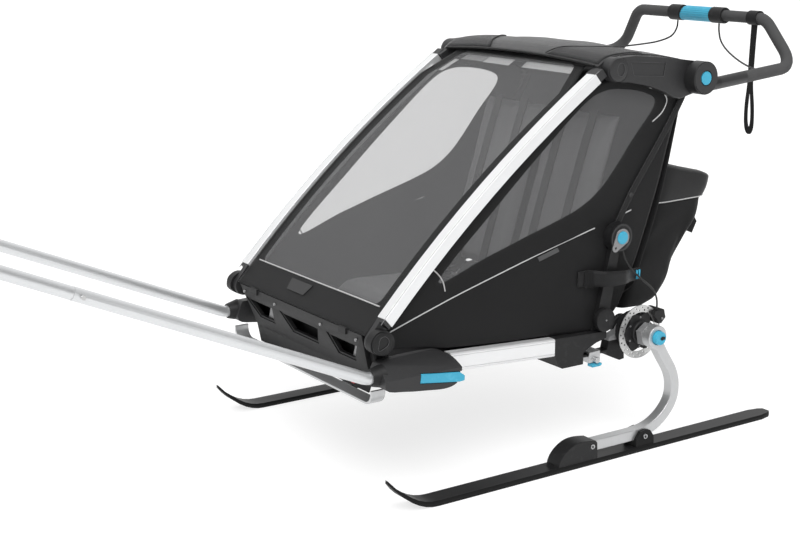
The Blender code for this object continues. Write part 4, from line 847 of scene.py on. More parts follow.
towLook = {"low": 0.3182, "high": 0.3920, "edge": 0.0060, "pole": (0.350, 0.3055), "bore": 0.0158}
towOutline = [(-0.7950, 0.2840), (-0.7400, 0.2710), (-0.6850, 0.2640), (-0.6350, 0.2590), (-0.6050, 0.2630),
              (-0.5880, 0.2760), (-0.5830, 0.2950), (-0.5850, 0.3130), (-0.5960, 0.3280), (-0.6200, 0.3365),
              (-0.6700, 0.3385), (-0.7300, 0.3375), (-0.7680, 0.3350), (-0.7860, 0.3290)]
for name, side, sign in bothSides():
    ends = sideways(sign, towLook["low"], towLook["high"])
    flat = [tuple(p) for p in smoothRoute([Vector(p) for p in towOutline], 4, True)]
    housing = finished("towBracket" + name, prism(flat, *ends), satinPlastic)
    mouth = bmesh.new()
    poleX, poleZ = sign * towLook["pole"][0], towLook["pole"][1]
    at = spot(poleX, -0.740, poleZ)
    bmesh.ops.create_cone(mouth, cap_ends=True, segments=36, radius1=towLook["bore"], radius2=towLook["bore"],
                          depth=0.270,
                          matrix=Matrix.Translation(at) @ Matrix.Rotation(math.pi / 2, 4, "X"))
    latch = [(-0.7010, 0.2835), (-0.5900, 0.2680), (-0.5750, 0.2690), (-0.5740, 0.2810), (-0.5900, 0.2925),
             (-0.6980, 0.3055)]
    bed = [(-0.7020, 0.2825), (-0.5500, 0.2620), (-0.5500, 0.2900), (-0.6990, 0.3070)]
    latchBed = prism(bed, *sideways(sign, 0.3862, 0.41))
    thumb = prism(circlePoints((0.366, -0.640), 0.0140, 28), 0.3345, 0.36, "z")
    if sign < 0:
        bmesh.ops.scale(thumb, verts=thumb.verts, vec=(-1, 1, 1))
        bmesh.ops.reverse_faces(thumb, faces=thumb.faces)
    slope = prism([(sign * x, z) for x, z in ((0.3965, 0.3010), (0.4400, 0.3010), (0.4400, 0.3700),
                                              (0.3180, 0.3700), (0.3300, 0.3445))], -0.86, -0.54, "y")
    carve(housing, [mouth, latchBed, thumb, slope])
    shaded(housing.data, 40)
    rounded(housing, towLook["edge"], 5, 40)
    housing.modifiers["rounded edges"].use_clamp_overlap = True
    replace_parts(housing, f"tow_bracket_{side}")
    latch = finished("towLatch" + name, prism(latch, *sideways(sign, 0.3866, 0.3922)), bluePlastic)
    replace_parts(rounded(latch, 0.0016, 3), f"tow_latch_{side}")
    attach(latch, f"tow_latch_{side}")
    collar = bmesh.new()
    ring = []
    for radius, y in ((0.0160, -0.8120), (0.0195, -0.8120), (0.0215, -0.8060), (0.0280, -0.7800),
                      (0.0160, -0.7800)):
        ring.append(collar.verts.new(spot(poleX + radius, y, poleZ)))
    edges = [collar.edges.new(pair) for pair in zip(ring, ring[1:] + ring[:1])]
    bmesh.ops.spin(collar, geom=ring + edges, cent=spot(poleX, 0, poleZ), axis=(0, 1, 0),
                   dvec=(0, 0, 0), angle=2 * math.pi, steps=40, use_merge=True)
    bmesh.ops.recalc_face_normals(collar, faces=collar.faces)
    collar = finished("towCollar" + name, collar, blackPlastic, sharp=35)
    riding("chassis", housing, collar)
print("tow brackets ready")


# Bumper: the modelled solid with a rounded rim, sunk panels and bolt heads

bumperLook = {"seam": 0.372, "slope": 0.34, "narrow": 0.75, "lift": 0.16}
panelCuts = []
for middle, half in ((0.0, 0.085), (0.205, 0.060), (-0.205, 0.060)):
    outer = [(middle - half + 0.018, 0.2985), (middle + half - 0.018, 0.2985), (middle + half + 0.012, 0.3600),
             (middle - half - 0.012, 0.3600)]
    panelCuts.append(prism(outer, -0.812, -0.7972, "y"))
bumper = refined("front_bumper", blackPlastic, 0.0034, 4, panelCuts, 40)
for v in bumper.data.vertices:
    low = max(0.0, bumperLook["seam"] - v.co.z)
    v.co.y += bumperLook["slope"] * low * (1 if v.co.y - hubY < -0.76 else 0.3)
    v.co.x *= 1 - bumperLook["narrow"] * low
    v.co.z += bumperLook["lift"] * low
backing = prism([(-0.300, 0.276), (0.300, 0.276), (0.330, 0.385), (-0.330, 0.385)], -0.7425, -0.7395, "y")
backing = rounded(finished("bumperBacking", backing, blackPlastic), 0.0008, 2)
riding("chassis", backing)
skirt = prism([(-0.292, 0.305), (0.292, 0.305), (0.262, 0.2365), (-0.262, 0.2365)], -0.7600, -0.7560, "y")
riding("chassis", rounded(finished("bumperSkirt", skirt, blackPlastic), 0.0010, 2))
for i, x in enumerate((-0.205, 0.205)):
    pale = prism([(x - 0.002, 0.306), (x + 0.026, 0.306), (x + 0.040, 0.352), (x + 0.014, 0.352)], -0.7665, -0.7640,
                 "y")
    riding("chassis", rounded(finished(f"bumperInset{i}", pale, castGrey), 0.0006, 2))
for i, x in enumerate((-0.272, -0.112, 0.112, 0.272)):
    head = bmesh.new()
    bmesh.ops.create_cone(head, cap_ends=True, segments=20, radius1=0.0042, radius2=0.0036, depth=0.003,
                          matrix=Matrix.Translation(spot(x, -0.8008, 0.3750)) @ Matrix.Rotation(math.pi / 2, 4, "X"))
    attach(finished(f"bumperBolt{i}", head, castGrey, sharp=30), "chassis")
reflector = rounded(finished("bumperReflector", prism([(0.252, 0.268), (0.266, 0.268), (0.266, 0.276),
                                                       (0.252, 0.276)], -0.8022, -0.7995, "y"), redPlastic), 0.0008, 2)
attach(reflector, "chassis")

guardLook = {"half": 0.3358, "low": 0.2292, "top": 0.2672, "thick": 0.0060, "turn": 0.030, "y": (-0.7990, -0.7600)}
strip = []
for gap in (0.0, guardLook["thick"]):
    half, low, turn = guardLook["half"] - gap, guardLook["low"] + gap, guardLook["turn"] - gap
    path = [(half, guardLook["top"])]
    for i in range(9):
        angle = -math.pi / 2 * i / 8
        path.append((half - turn + turn * math.cos(angle), low + turn + turn * math.sin(angle)))
    path += [(-x, z) for x, z in reversed(path)]
    strip += path if gap == 0 else path[::-1]
guard = finished("guardBar", prism(strip, *guardLook["y"], "y"), strutSilver, sharp=50)
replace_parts(rounded(guard, 0.0016, 3, 45), "guard_bar")
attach(guard, bodyOf["guard_bar"])


# Upper brackets: satin plates with a bare sunk panel and round bosses

bracketLook = {"face": 0.3500, "sink": 0.0014, "rim": 0.0007}
kneeLook = {"head": 0.0230, "tail": 0.0105, "reach": 0.0325, "lean": -130, "hole": 0.0032, "tab": (0.3553, 0.3583),
            "button": 0.0165}
for name, side, sign in bothSides():
    panel = [(-0.0490, 0.9790), (0.0690, 0.9700), (0.0630, 0.9375), (-0.0370, 0.9445)]
    deep = sideways(sign, bracketLook["face"] - bracketLook["sink"], 0.36)
    thin = sideways(sign, bracketLook["face"] - 0.0005, 0.36)
    refined(f"upper_bracket_{side}", satinPlastic, 0.0022, 4,
            [prism(panel, *deep), prism(circlePoints(tuple(topPivot), 0.0325, 40), *thin)], 33)
    edge = []
    for first, second in zip(panel, panel[1:] + panel[:1]):
        edge += [spot(sign * bracketLook["face"], *Vector(first).lerp(Vector(second), k / 8)) for k in range(8)]
    riding("upper_frame", tubeAlong("panelRim" + name, edge, bracketLook["rim"], rimPlastic, True))
    boss = disc("pivotBoss" + name, tuple(topPivot), 0.0290, 0.3480, 0.3545, sign, satinPlastic,
                0.0022, -0.0006)
    oval = []
    for i in range(32):
        angle = 2 * math.pi * i / 32
        oval.append((topPivot.x + 0.006 + 0.0120 * math.cos(angle), topPivot.y + 0.0165 * math.sin(angle)))
    dent = prism(oval, *sideways(sign, 0.3534, 0.36))
    carve(boss, [dent])
    boss.data.set_sharp_from_angle(angle=math.radians(hardEdge))
    ring = smoothRoute([spot(sign * 0.3545, *p) for p in oval[::2]], 2, True)
    ring = tubeAlong("pivotRing" + name, ring, 0.0008, rimPlastic, True, 2)
    riding("upper_frame", boss, ring)
    riding("handlebar", lathe("hubCollar" + name, [(0.0185, 0.3850), (0.0400, 0.3850), (0.0385, 0.3885),
                                                   (0.0200, 0.3885)], tuple(handlePoint), sign, satinPlastic,
                              48, True))

    # Knee: the blue disc and the metal tab below it
    heading = math.radians(kneeLook["lean"])
    tip = kneePoint + kneeLook["reach"] * Vector((math.cos(heading), math.sin(heading)))
    tab = []
    for i in range(17):
        angle = heading + math.pi / 2 + math.pi * i / 16
        tab.append((kneePoint.x + kneeLook["head"] * math.cos(angle),
                    kneePoint.y + kneeLook["head"] * math.sin(angle)))
    for i in range(9):
        angle = heading - math.pi / 2 + math.pi * i / 8
        tab.append((tip.x + kneeLook["tail"] * math.cos(angle), tip.y + kneeLook["tail"] * math.sin(angle)))
    tabPiece = finished("kneeTab" + name, prism(tab, *sideways(sign, *kneeLook["tab"])), castGrey)
    carve(tabPiece, [prism(circlePoints(tuple(tip), kneeLook["hole"], 16), *sideways(sign, 0.35, 0.37))])
    tabPiece.data.set_sharp_from_angle(angle=math.radians(hardEdge))
    rounded(tabPiece, 0.0007, 2)
    button = disc("kneeButton" + name, tuple(kneePoint), kneeLook["button"], 0.3570, 0.3612, sign, bluePlastic,
                  0.0014, -0.0006)
    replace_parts(tabPiece, f"knee_lock_{side}")
    riding(f"knee_lock_{side}", tabPiece, button)
    rim = lathe("kneeRim" + name, [(0.0290, 0.3545), (0.0345, 0.3545), (0.0345, 0.3562), (0.0305, 0.3562)],
                tuple(kneePoint), sign, satinPlastic, 48, True)
    riding("rear_legs", rim)

    # Lower pivots: a domed cap with a centre dot behind, a cap with a drop-shaped dent in front
    at = (-0.105, 0.333)
    dome = disc("pivotCapRear" + name, at, 0.0302, 0.3500, 0.3552, sign, blackPlastic, 0.0026,
                -0.0008)
    dot = disc("pivotDot" + name, at, 0.0026, 0.3550, 0.3564, sign, castGrey, 0.0005)
    riding("chassis", dome, dot)
    at = (frontPivot.x - 0.004, frontPivot.y + 0.003)
    boss = disc("pivotCapFront" + name, at, 0.0262, 0.3500, 0.3580, sign, blackPlastic, 0.0022,
                -0.0004)
    drop = [(at[0] + 0.0035 + 0.0135 * math.cos(a), at[1] + 0.0040 + 0.0135 * math.sin(a))
            for a in (math.radians(-60 + 12 * i) for i in range(22))]
    drop += [(at[0] - 0.0125, at[1] - 0.0090), (at[0] - 0.0080, at[1] - 0.0145), (at[0] - 0.0010, at[1] - 0.0125)]
    carve(boss, [prism(drop, *sideways(sign, 0.3566, 0.36))])
    boss.data.set_sharp_from_angle(angle=math.radians(hardEdge))
    ring = smoothRoute([spot(sign * 0.3580, *q) for q in drop], 2, True)
    riding("chassis", boss, tubeAlong("pivotRim" + name, ring, 0.0007, rimPlastic, True, 2))
print("brackets, knees and pivots ready")


# Twist grip: a ribbed sleeve

gripLook = {"from": -0.056, "to": 0.054, "radius": 0.0209, "rib": 0.0011, "ribs": 22, "bore": 0.0183}
outline = []
for i in range(gripLook["ribs"] * 6):
    angle = 2 * math.pi * i / (gripLook["ribs"] * 6)
    radius = gripLook["radius"] - gripLook["rib"] * (0.5 - 0.5 * math.cos(angle * gripLook["ribs"])) ** 3
    outline.append((0.529 + radius * math.cos(angle), 1.056 + radius * math.sin(angle)))
grip = prism(outline, gripLook["from"], gripLook["to"])
for v in grip.verts:
    v.co.x += 0.006 * (v.co.z - 1.056) / 0.02 if v.co.x < 0 else 0.0
grip = finished("twistGrip", grip, bluePlastic)
carve(grip, [prism(circlePoints((0.529, 1.056), gripLook["bore"], 40), -0.09, 0.09)])
shaded(grip.data, 40)
rounded(grip, 0.0006, 2, 50)
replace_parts(grip, "twist_grip")
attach(grip, "twist_grip")

collar = lathe("wristCollar", [(0.0172, 0.1940), (0.0196, 0.1945), (0.0196, 0.2285), (0.0172, 0.2290)],
               (0.529, 1.056), 1, webbing, 48, True)
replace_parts(collar, "wrist_strap")
strapLook = {"middle": 0.2110, "y": (0.5272, 0.5300),
             "halves": ((1.0390, 0.0105), (0.990, 0.0100), (0.930, 0.0098), (0.885, 0.0098), (0.855, 0.0120),
                        (0.825, 0.0158), (0.795, 0.0176), (0.768, 0.0172), (0.750, 0.0140), (0.7405, 0.0085),
                        (0.7375, 0.0030)),
             "hole": ((0.8560, 0.0004), (0.835, 0.0026), (0.805, 0.0052), (0.780, 0.0054), (0.7640, 0.0034),
                      (0.7580, 0.0006))}


def strapEdge(rows):
    # both edges of a hanging strip, bowed a little to one side
    look = strapLook
    left = [(look["middle"] - w - 0.004 * math.sin(math.pi * (1.04 - z) / 0.30), z) for z, w in rows]
    right = [(look["middle"] + w - 0.004 * math.sin(math.pi * (1.04 - z) / 0.30), z) for z, w in rows]
    return [tuple(q) for q in smoothRoute(left, 4) + smoothRoute(right[::-1], 4)]


wrist = finished("wristStrap", prism(strapEdge(strapLook["halves"]), *strapLook["y"], "y"), webbing)
carve(wrist, [prism(strapEdge(strapLook["hole"]), strapLook["y"][0] - 0.01, strapLook["y"][1] + 0.01, "y")])
wrist.data.set_sharp_from_angle(angle=math.radians(40))
rounded(wrist, 0.0008, 2, 50)
riding("handlebar", collar, wrist)

# Ski shoes: a smooth hood over the front foot, screws in both
for name, side, sign in bothSides():
    ends = sideways(sign, 0.3962, 0.4438)
    shoe = prism([(-0.3600, 0.0121), (-0.1900, 0.0121), (-0.1900, 0.1200), (-0.3600, 0.1200)],
                 *sideways(sign, 0.38, 0.46))
    refined(f"ski_{side}", skiBlack, 0.0016, 3, [shoe])
    hood = smoothRoute([(-0.3230, 0.0100), (-0.3225, 0.0180), (-0.3155, 0.0320), (-0.3030, 0.0450),
                        (-0.2860, 0.0560), (-0.2680, 0.0622), (-0.2480, 0.0640), (-0.2280, 0.0625),
                        (-0.2060, 0.0590)], 4)
    hood = [tuple(q) for q in hood] + [(-0.2008, 0.0530), (-0.1995, 0.0300), (-0.1990, 0.0100)]
    hood = finished("skiHood" + name, prism(hood, *ends), blackPlastic)
    hood.data.set_sharp_from_angle(angle=math.radians(30))
    rounded(hood, 0.0065, 5, 30).modifiers[0].use_clamp_overlap = True
    riding(f"swing_arm_{side}", hood)
    for i, at in enumerate(((-0.2165, 0.0455), (-0.0400, 0.0370))):
        screw = disc(f"skiScrew{name}{i}", at, 0.0062, 0.4425, 0.4462 + 0.0006 * i, sign, strutSilver,
                     0.0008, 0.0012)
        # the black disc in each screw head is painted shade for its socket hole
        socket = disc(f"skiSocketPaintedShade{name}{i}", at, 0.0028, 0.4440, 0.4458 + 0.0006 * i, sign, blackPlastic,
                      0.0002)
        riding(f"swing_arm_{side}", screw, socket)
print("hard parts ready")


# Front cover: black hem, sheer window, piping and a bare patch

coverLook = {"low": 0.004, "high": 0.879, "half": 0.3122, "inset": 0.0195, "shoulder": 0.905, "taper": 0.75,
             "band": 0.0340, "apron": 0.073, "topBand": 0.8810, "corner": 0.020, "wall": 0.0022,
             "puff": 0.0016, "hem": 0.06, "foot": (-0.7985, 0.3930), "crown": 0.003, "counts": (70, 96)}


def coverSurface(u, v):
    look = coverLook
    distance = look["low"] + (look["high"] - look["low"]) * v
    y, z = barPoint(distance, look["inset"])
    if v < look["hem"]:
        fold = Vector(barPoint(look["low"] + (look["high"] - look["low"]) * look["hem"], look["inset"]))
        y, z = Vector(look["foot"]).lerp(fold, v / look["hem"])
    half = look["half"] - max(0.0, z - look["shoulder"]) * look["taper"]
    x = (2 * u - 1) * half
    lift = look["puff"] * math.sin(math.pi * u) * noise.noise(Vector((x * 5, distance * 5, 1.7)))
    lift += look["crown"] * math.sin(math.pi * min(1, v)) * (1 - (2 * u - 1) ** 2)
    return spot(x, y, z) + Vector((0, barAhead.x, barAhead.y)) * lift


def coverPane(shares, places):
    look = coverLook
    span = look["high"] - look["low"]
    values = []
    for (u, v), place in zip(shares, places):
        half = look["half"] - max(0.0, place.z - look["shoulder"]) * look["taper"]
        side = half - look["band"] - abs(2 * u - 1) * half
        distance = look["low"] + span * v
        ends = min(distance - look["apron"], look["topBand"] - distance)
        r = look["corner"]
        if side < r and ends < r:
            values.append(r - math.hypot(r - side, r - ends))
        else:
            values.append(min(side, ends))
    return values


cover = gridSheet("frontCover", coverLook["counts"], coverSurface, coverCloth,
                  {"pane": coverPane})
turnOut(cover, Vector((0, -1, 1)))
walled(cover, coverLook["wall"])
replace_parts(cover, "front_cover")
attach(cover, "front_cover")


def onCover(x, distance, lift=0.0):
    u = (x / coverLook["half"] + 1) / 2
    v = (distance - coverLook["low"]) / (coverLook["high"] - coverLook["low"])
    return coverSurface(u, v) + Vector((0, barAhead.x, barAhead.y)) * lift


stripe = tubeAlong("coverPiping", [onCover(x * 0.0115, 0.0715, 0.0008) for x in range(-25, 26)], 0.0017, piping)
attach(stripe, "front_cover")
for name, side, sign in bothSides():
    def liningAt(u, v, sign=sign):
        # the light inner face beside a side bar, seen through the net
        y, z = barPoint(0.080 + 0.735 * v, 0.0160 - 0.0250 * u)
        return spot(sign * 0.3098, y, z)

    lining = turnOut(gridSheet("barLining" + name, (3, 60), liningAt, paleTape), Vector((-sign, 0, 0)))
    riding("front_frame", walled(lining, 0.0008))
    inner = [onCover(sign * (coverLook["half"] - 0.0085), 0.075 + 0.0155 * i, 0.0004) for i in range(48)]
    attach(tubeAlong("coverSeam" + name, inner, 0.0009, blackCloth), "front_cover")
for i, (left, right, low, high, finish) in enumerate(((-0.246, -0.140, 0.850, 0.872, greyTape),
                                                      (-0.136, -0.010, 0.848, 0.873, paleTape),
                                                      (0.050, 0.270, 0.848, 0.873, paleTape),
                                                      (-0.272, -0.252, 0.795, 0.846, paleTape))):
    def tapeAt(u, v, box=(left, right, low, high)):
        return onCover(box[0] + (box[1] - box[0]) * u, box[2] + (box[3] - box[2]) * v, -0.0042)

    tape = turnOut(gridSheet(f"coverTape{i}", (10, 4), tapeAt, finish), Vector((0, -1, 1)))
    riding("front_cover", walled(tape, 0.0008))
patch = prism([(-0.034, 0), (0.046, 0), (0.056, 0.027), (-0.044, 0.027)], 0, 0.0016, "y")
for v in patch.verts:
    x, depth, rise = v.co.x - 0.055, v.co.y - hubY, v.co.z
    v.co = onCover(x, 0.031 + rise, 0.0008 + depth)
bmesh.ops.recalc_face_normals(patch, faces=patch.faces)
patch = rounded(finished("coverPatch", patch, satinPlastic), 0.0006, 2)
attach(patch, "front_cover")
print("front cover ready")


# Cabin sides: one sewn panel each, with its window, piping, front gusset and strap

sideLook = {"x": 0.3245, "wall": 0.0024, "bulge": 0.0040, "counts": (130, 84)}
sideHold = (spot(0, -0.33, 0.36), spot(0, -0.50, 0.62))  # two points, one by the chassis and one by the side bar
lowEdge = [(-0.7450, 0.3560), (-0.640, 0.3440), (-0.583, 0.3330), (-0.420, 0.3200), (-0.2660, 0.3120),
           (-0.1500, 0.3040), (-0.0900, 0.3120), (-0.0380, 0.3600)]
rearEdge = [(-0.0380, 0.3600), (0.012, 0.466), (0.048, 0.560), (0.083, 0.660), (0.108, 0.748), (0.133, 0.826),
            (0.153, 0.866), (0.158, 0.892)]
topEdge = [tuple(barPoint(0.010 + 0.0805 * i, -0.0015)) for i in range(11)]
topEdge += [(-0.066, 0.9440), (0.000, 0.9420), (0.070, 0.9280), (0.126, 0.9080), (0.158, 0.8920)]
topEdge[0] = (-0.7550, 0.3840)
sidePatch = patchOf(pacer(smoothRoute(lowEdge)), pacer([Vector(p) for p in topEdge]),
                    pacer([Vector(lowEdge[0]), Vector(topEdge[0])]), pacer(smoothRoute(rearEdge)))
windowRoute = smoothRoute([(-0.607, 0.497), (-0.440, 0.655), (-0.300, 0.778), (-0.1750, 0.8800), (-0.105, 0.9100),
                           (-0.030, 0.9080), (0.030, 0.8950), (0.060, 0.8780), (0.052, 0.8500), (-0.006, 0.7860),
                           (-0.060, 0.7200), (-0.110, 0.6680), (-0.170, 0.6300), (-0.250, 0.6020),
                           (-0.340, 0.5760), (-0.470, 0.5370)], 5, True)


def sideSurface(sign):
    def at(u, v):
        y, z = sidePatch(u, v)
        edge = math.sin(math.pi * min(1, max(0, u))) * math.sin(math.pi * min(1, max(0, v)))
        swell = sideLook["bulge"] * edge ** 0.7 * (1.0 if y < -0.20 else max(0.0, 1 - (y + 0.20) / 0.12))
        ripple = 0.0012 * edge * noise.noise(Vector((y * 6, z * 6, 3.1 * sign)))
        return spot(sign * (sideLook["x"] + swell + ripple), y, z)

    return at


def sideFlat(place):
    return (place.y, place.z)


def sidePane(shares, places):
    return insideBy([(p.y - hubY, p.z) for p in places], windowRoute)


def onSide(sign, route, out):
    # a flat route laid on the outside of a side panel
    lifted = []
    for y, z in route:
        middle = max(0.0, 1 - abs((y + 0.42) / 0.36)) * max(0.0, 1 - abs((z - 0.50) / 0.22))
        lifted.append(spot(sign * (sideLook["x"] + sideLook["bulge"] * 0.8 * middle + out), y, z))
    return lifted


legStrapLook = {"keeper": 0.0225, "keeperAt": ((0.3336, -0.1620), (0.3352, -0.1520), (0.3420, -0.1420)),
                "bars": (0.0030, 0.0115), "barWidth": 0.0024}
for name, side, sign in bothSides():
    panel = gridSheet("cabinSide" + name, sideLook["counts"], sideSurface(sign), sideCloth,
                      {"pane": sidePane}, sideFlat)
    turnOut(panel, Vector((sign, 0, 0)))
    walled(panel, sideLook["wall"])
    if sign > 0:
        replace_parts(panel, "cabin_fabric")
    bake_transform(panel)
    for label, route in (("Long", [(-0.752, 0.3935), (-0.640, 0.4300), (-0.520, 0.4670), (-0.320, 0.5220),
                                   (-0.1280, 0.5690)]),
                         ("Short", [(-0.0460, 0.5890), (-0.0280, 0.5960), (-0.0080, 0.6015)]),
                         ("Arc", [(0.0390, 0.9080), (0.0700, 0.9020), (0.0920, 0.8880), (0.1000, 0.8700),
                                  (0.0850, 0.8430), (0.0540, 0.8220)]),
                         ("Gusset", [(-0.6305, 0.5357), (-0.6076, 0.5159), (-0.5932, 0.4948),
                                     (-0.5872, 0.4722)])):
        trim = tubeAlong("piping" + label + name, onSide(sign, smoothRoute(route), 0.0012), 0.0016, piping)
        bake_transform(trim)
    tab = finished("sideTab" + name, prism([(-0.3059, 0.5071), (-0.2433, 0.5241), (-0.2500, 0.5350),
                                            (-0.3125, 0.5180)], *sideways(sign, 0.3270, 0.3296)),
                   rimPlastic)
    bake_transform(rounded(tab, 0.0005, 2))

    # The sleeve of the rear tube with its rivet, and the strap round the rear leg
    line = [(-0.0560, 0.5720), (-0.0200, 0.6340), (0.0160, 0.6860), (0.0630, 0.7500), (0.1100, 0.8150),
            (0.1450, 0.8700), (0.1560, 0.8900)]
    across = Vector((0, 0.0070, -0.0050))
    sleeve = strapAlong("rearSleeve" + name, [spot(sign * 0.3292, *q) for q in line], [across] * len(line),
                        webbing, 0.0022)
    riding(bodyOf["rear_frame"], sleeve)
    for i in (-1, 1):
        edge = [spot(sign * 0.3300, *q) + across * i for q in line]
        riding(bodyOf["rear_frame"], tubeAlong(f"sleeveEdge{name}{i + 1}", smoothRoute(edge), 0.0009, flapCloth))
    riding(bodyOf["rear_frame"], disc("sleeveRivet" + name, (-0.0150, 0.6420), 0.0062, 0.3295, 0.3322, sign,
                                      satinPlastic, 0.0008, 0.0008))
    route = [(0.3300, -0.1820, 0.4440), (0.3325, -0.1500, 0.4440), (0.3480, -0.1300, 0.4430),
             (0.3620, -0.1100, 0.4420), (0.3625, -0.0600, 0.4395), (0.3580, -0.0420, 0.4385),
             (0.3460, -0.0200, 0.4370), (0.3400, 0.0020, 0.4355), (0.3398, 0.0175, 0.4350)]
    halves = [0.0200, 0.0200, 0.0200, 0.0195, 0.0180, 0.0172, 0.0165, 0.0160, 0.0158]
    strap = strapAlong("legStrap" + name, [spot(sign * x, y, z) for x, y, z in route],
                       [Vector((0, 0, h)) for h in halves], webbing, 0.0018)
    keeper = strapAlong("legKeeper" + name, [spot(sign * x, y, 0.4430) for x, y in legStrapLook["keeperAt"]],
                        [Vector((0, 0, legStrapLook["keeper"]))] * 3, blackCloth, 0.0026)
    riding("rear_legs", strap, keeper)
    for i, y in enumerate(legStrapLook["bars"]):
        end = y + legStrapLook["barWidth"]
        bar = prism([(y, 0.4235), (end, 0.4235), (end, 0.4470), (y, 0.4470)],
                    *sideways(sign, 0.3404, 0.3456))
        riding("rear_legs", finished(f"strapBar{name}{i}", bar, blueTape))
print("cabin sides ready")


# Rear of the cabin and the roof

rearLine = [(-0.0600, 0.306), (-0.010, 0.352), (0.046, 0.485), (0.088, 0.598), (0.116, 0.700), (0.138, 0.800),
            (0.152, 0.8700), (0.160, 0.9150), (0.166, 0.9500)]
rearRoute = pacer(smoothRoute(rearLine))
rearLook = {"half": 0.3225, "wall": 0.0024, "narrow": 0.0445, "below": 0.400, "over": 0.035, "puff": 0.0015}


def rearSurface(u, v):
    look = rearLook
    y, z = rearRoute(v)
    x = (2 * u - 1) * (look["half"] - look["narrow"] * min(1.0, max(0.0, (look["below"] - z) / look["over"])))
    puff = look["puff"] * max(0.0, 1 - abs(2 * u - 1) ** 6)
    return spot(x, y + puff + puff * noise.noise(Vector((x * 6, z * 6, 0))), z)


rearPanel = gridSheet("cabinRear", (60, 50), rearSurface, blackCloth)
turnOut(rearPanel, Vector((0, 1, 0)))
walled(rearPanel, rearLook["wall"])
spot(0, 0, 0.31)
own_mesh(rearPanel)
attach(rearPanel, "chassis")

roofLine = [(-0.1300, 0.9700), (-0.1080, 0.9850), (-0.0850, 0.9920), (-0.0300, 0.9960), (0.0400, 0.9910),
            (0.1000, 0.9825), (0.1600, 0.9705), (0.2050, 0.9570), (0.2265, 0.9410)]
roofRoute = pacer(smoothRoute(roofLine))
roofLook = {"half": 0.3215, "crown": 0.0140, "ripple": 0.0055, "dent": 0.0035, "dentAt": 0.16, "dentWidth": 0.03,
            "wall": 0.0026, "counts": (80, 44)}


def roofSurface(u, v):
    look = roofLook
    y, z = roofRoute(v)
    share = 2 * u - 1
    x = share * look["half"]
    lift = look["crown"] * (1 - share * share)
    ease = (1 - share ** 4) * math.sin(math.pi * v)
    lift += look["ripple"] * ease * noise.noise(Vector((x * 6, y * 11 + x * 4, 5.3)))
    lift -= look["dent"] * ease * math.exp(-((abs(x) - look["dentAt"]) / look["dentWidth"]) ** 2)
    return spot(x, y, z + lift)


roof = gridSheet("roofCloth", roofLook["counts"], roofSurface, roofCloth)
turnOut(roof, Vector((0, 0, 1)))
walled(roof, roofLook["wall"])
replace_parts(roof, "roof")
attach(roof, "upper_frame")
for name, side, sign in bothSides():
    def flapAt(u, v, sign=sign):
        inner = 0.36 + 0.36 * v
        share = sign * (inner + (0.985 - inner) * u)
        return roofSurface((share + 1) / 2, 0.015 + 0.40 * v) + Vector((0, -0.0006, 0.0022))

    flap = turnOut(gridSheet("roofFlap" + name, (16, 14), flapAt, flapCloth), Vector((0, 0, 1)))
    riding("upper_frame", walled(flap, 0.0018))
    seam = smoothRoute([flapAt(0, i / 8) + Vector((0, 0, 0.0006)) for i in range(9)])
    riding("upper_frame", tubeAlong("flapSeam" + name, seam, 0.0011, blackCloth))
brim = [roofSurface(0.02 + 0.96 * i / 40, 0.0) + Vector((0, -0.0008, -0.0004)) for i in range(41)]
riding("upper_frame", tubeAlong("roofBrim", brim, 0.0024, blackCloth))
print("rear and roof ready")


# Cargo bag: a sagging sewn shell under a coated lid

bagLook = {"half": 0.284, "square": 0.30, "sag": 0.0075, "rings": 26, "around": 96}
bagFront = pacer(smoothRoute([(0.0020, 0.3300), (0.035, 0.430), (0.070, 0.520), (0.102, 0.605)]))
bagRear = pacer(smoothRoute([(0.1040, 0.3270), (0.1540, 0.3420), (0.1920, 0.3860), (0.2120, 0.4400),
                             (0.2500, 0.5020), (0.2900, 0.5440), (0.3050, 0.6080)]))


def crumpled(piece):
    # the piece gets its own mesh and rides on the chassis
    spot(0, 0, 0.325)
    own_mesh(piece)
    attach(piece, "chassis")


def bagRing(share, angle):
    # one point of the bag's wall at a height share
    front, rear = bagFront(share), bagRear(share)
    deep = (rear - front).length / 2
    middle = (rear + front) / 2
    lean = (rear - front).normalized()
    c, s = math.cos(angle), math.sin(angle)
    a = math.copysign(abs(c) ** bagLook["square"], c) * bagLook["half"] * (0.985 + 0.015 * share)
    b = math.copysign(abs(s) ** bagLook["square"], s) * deep
    folds = noise.noise(Vector((a * 16, b * 34 + share * 2.5, share * 2.4)))
    sag = bagLook["sag"] * math.sin(math.pi * share) ** 0.7 * (folds + 0.35 * math.sin(b * 75 - share * 5))
    y, z = middle + lean * b * (1 + 0.4 * sag / 0.14)
    return spot(a + math.copysign(sag, a) if abs(a) > 0.2 else a, y, z)


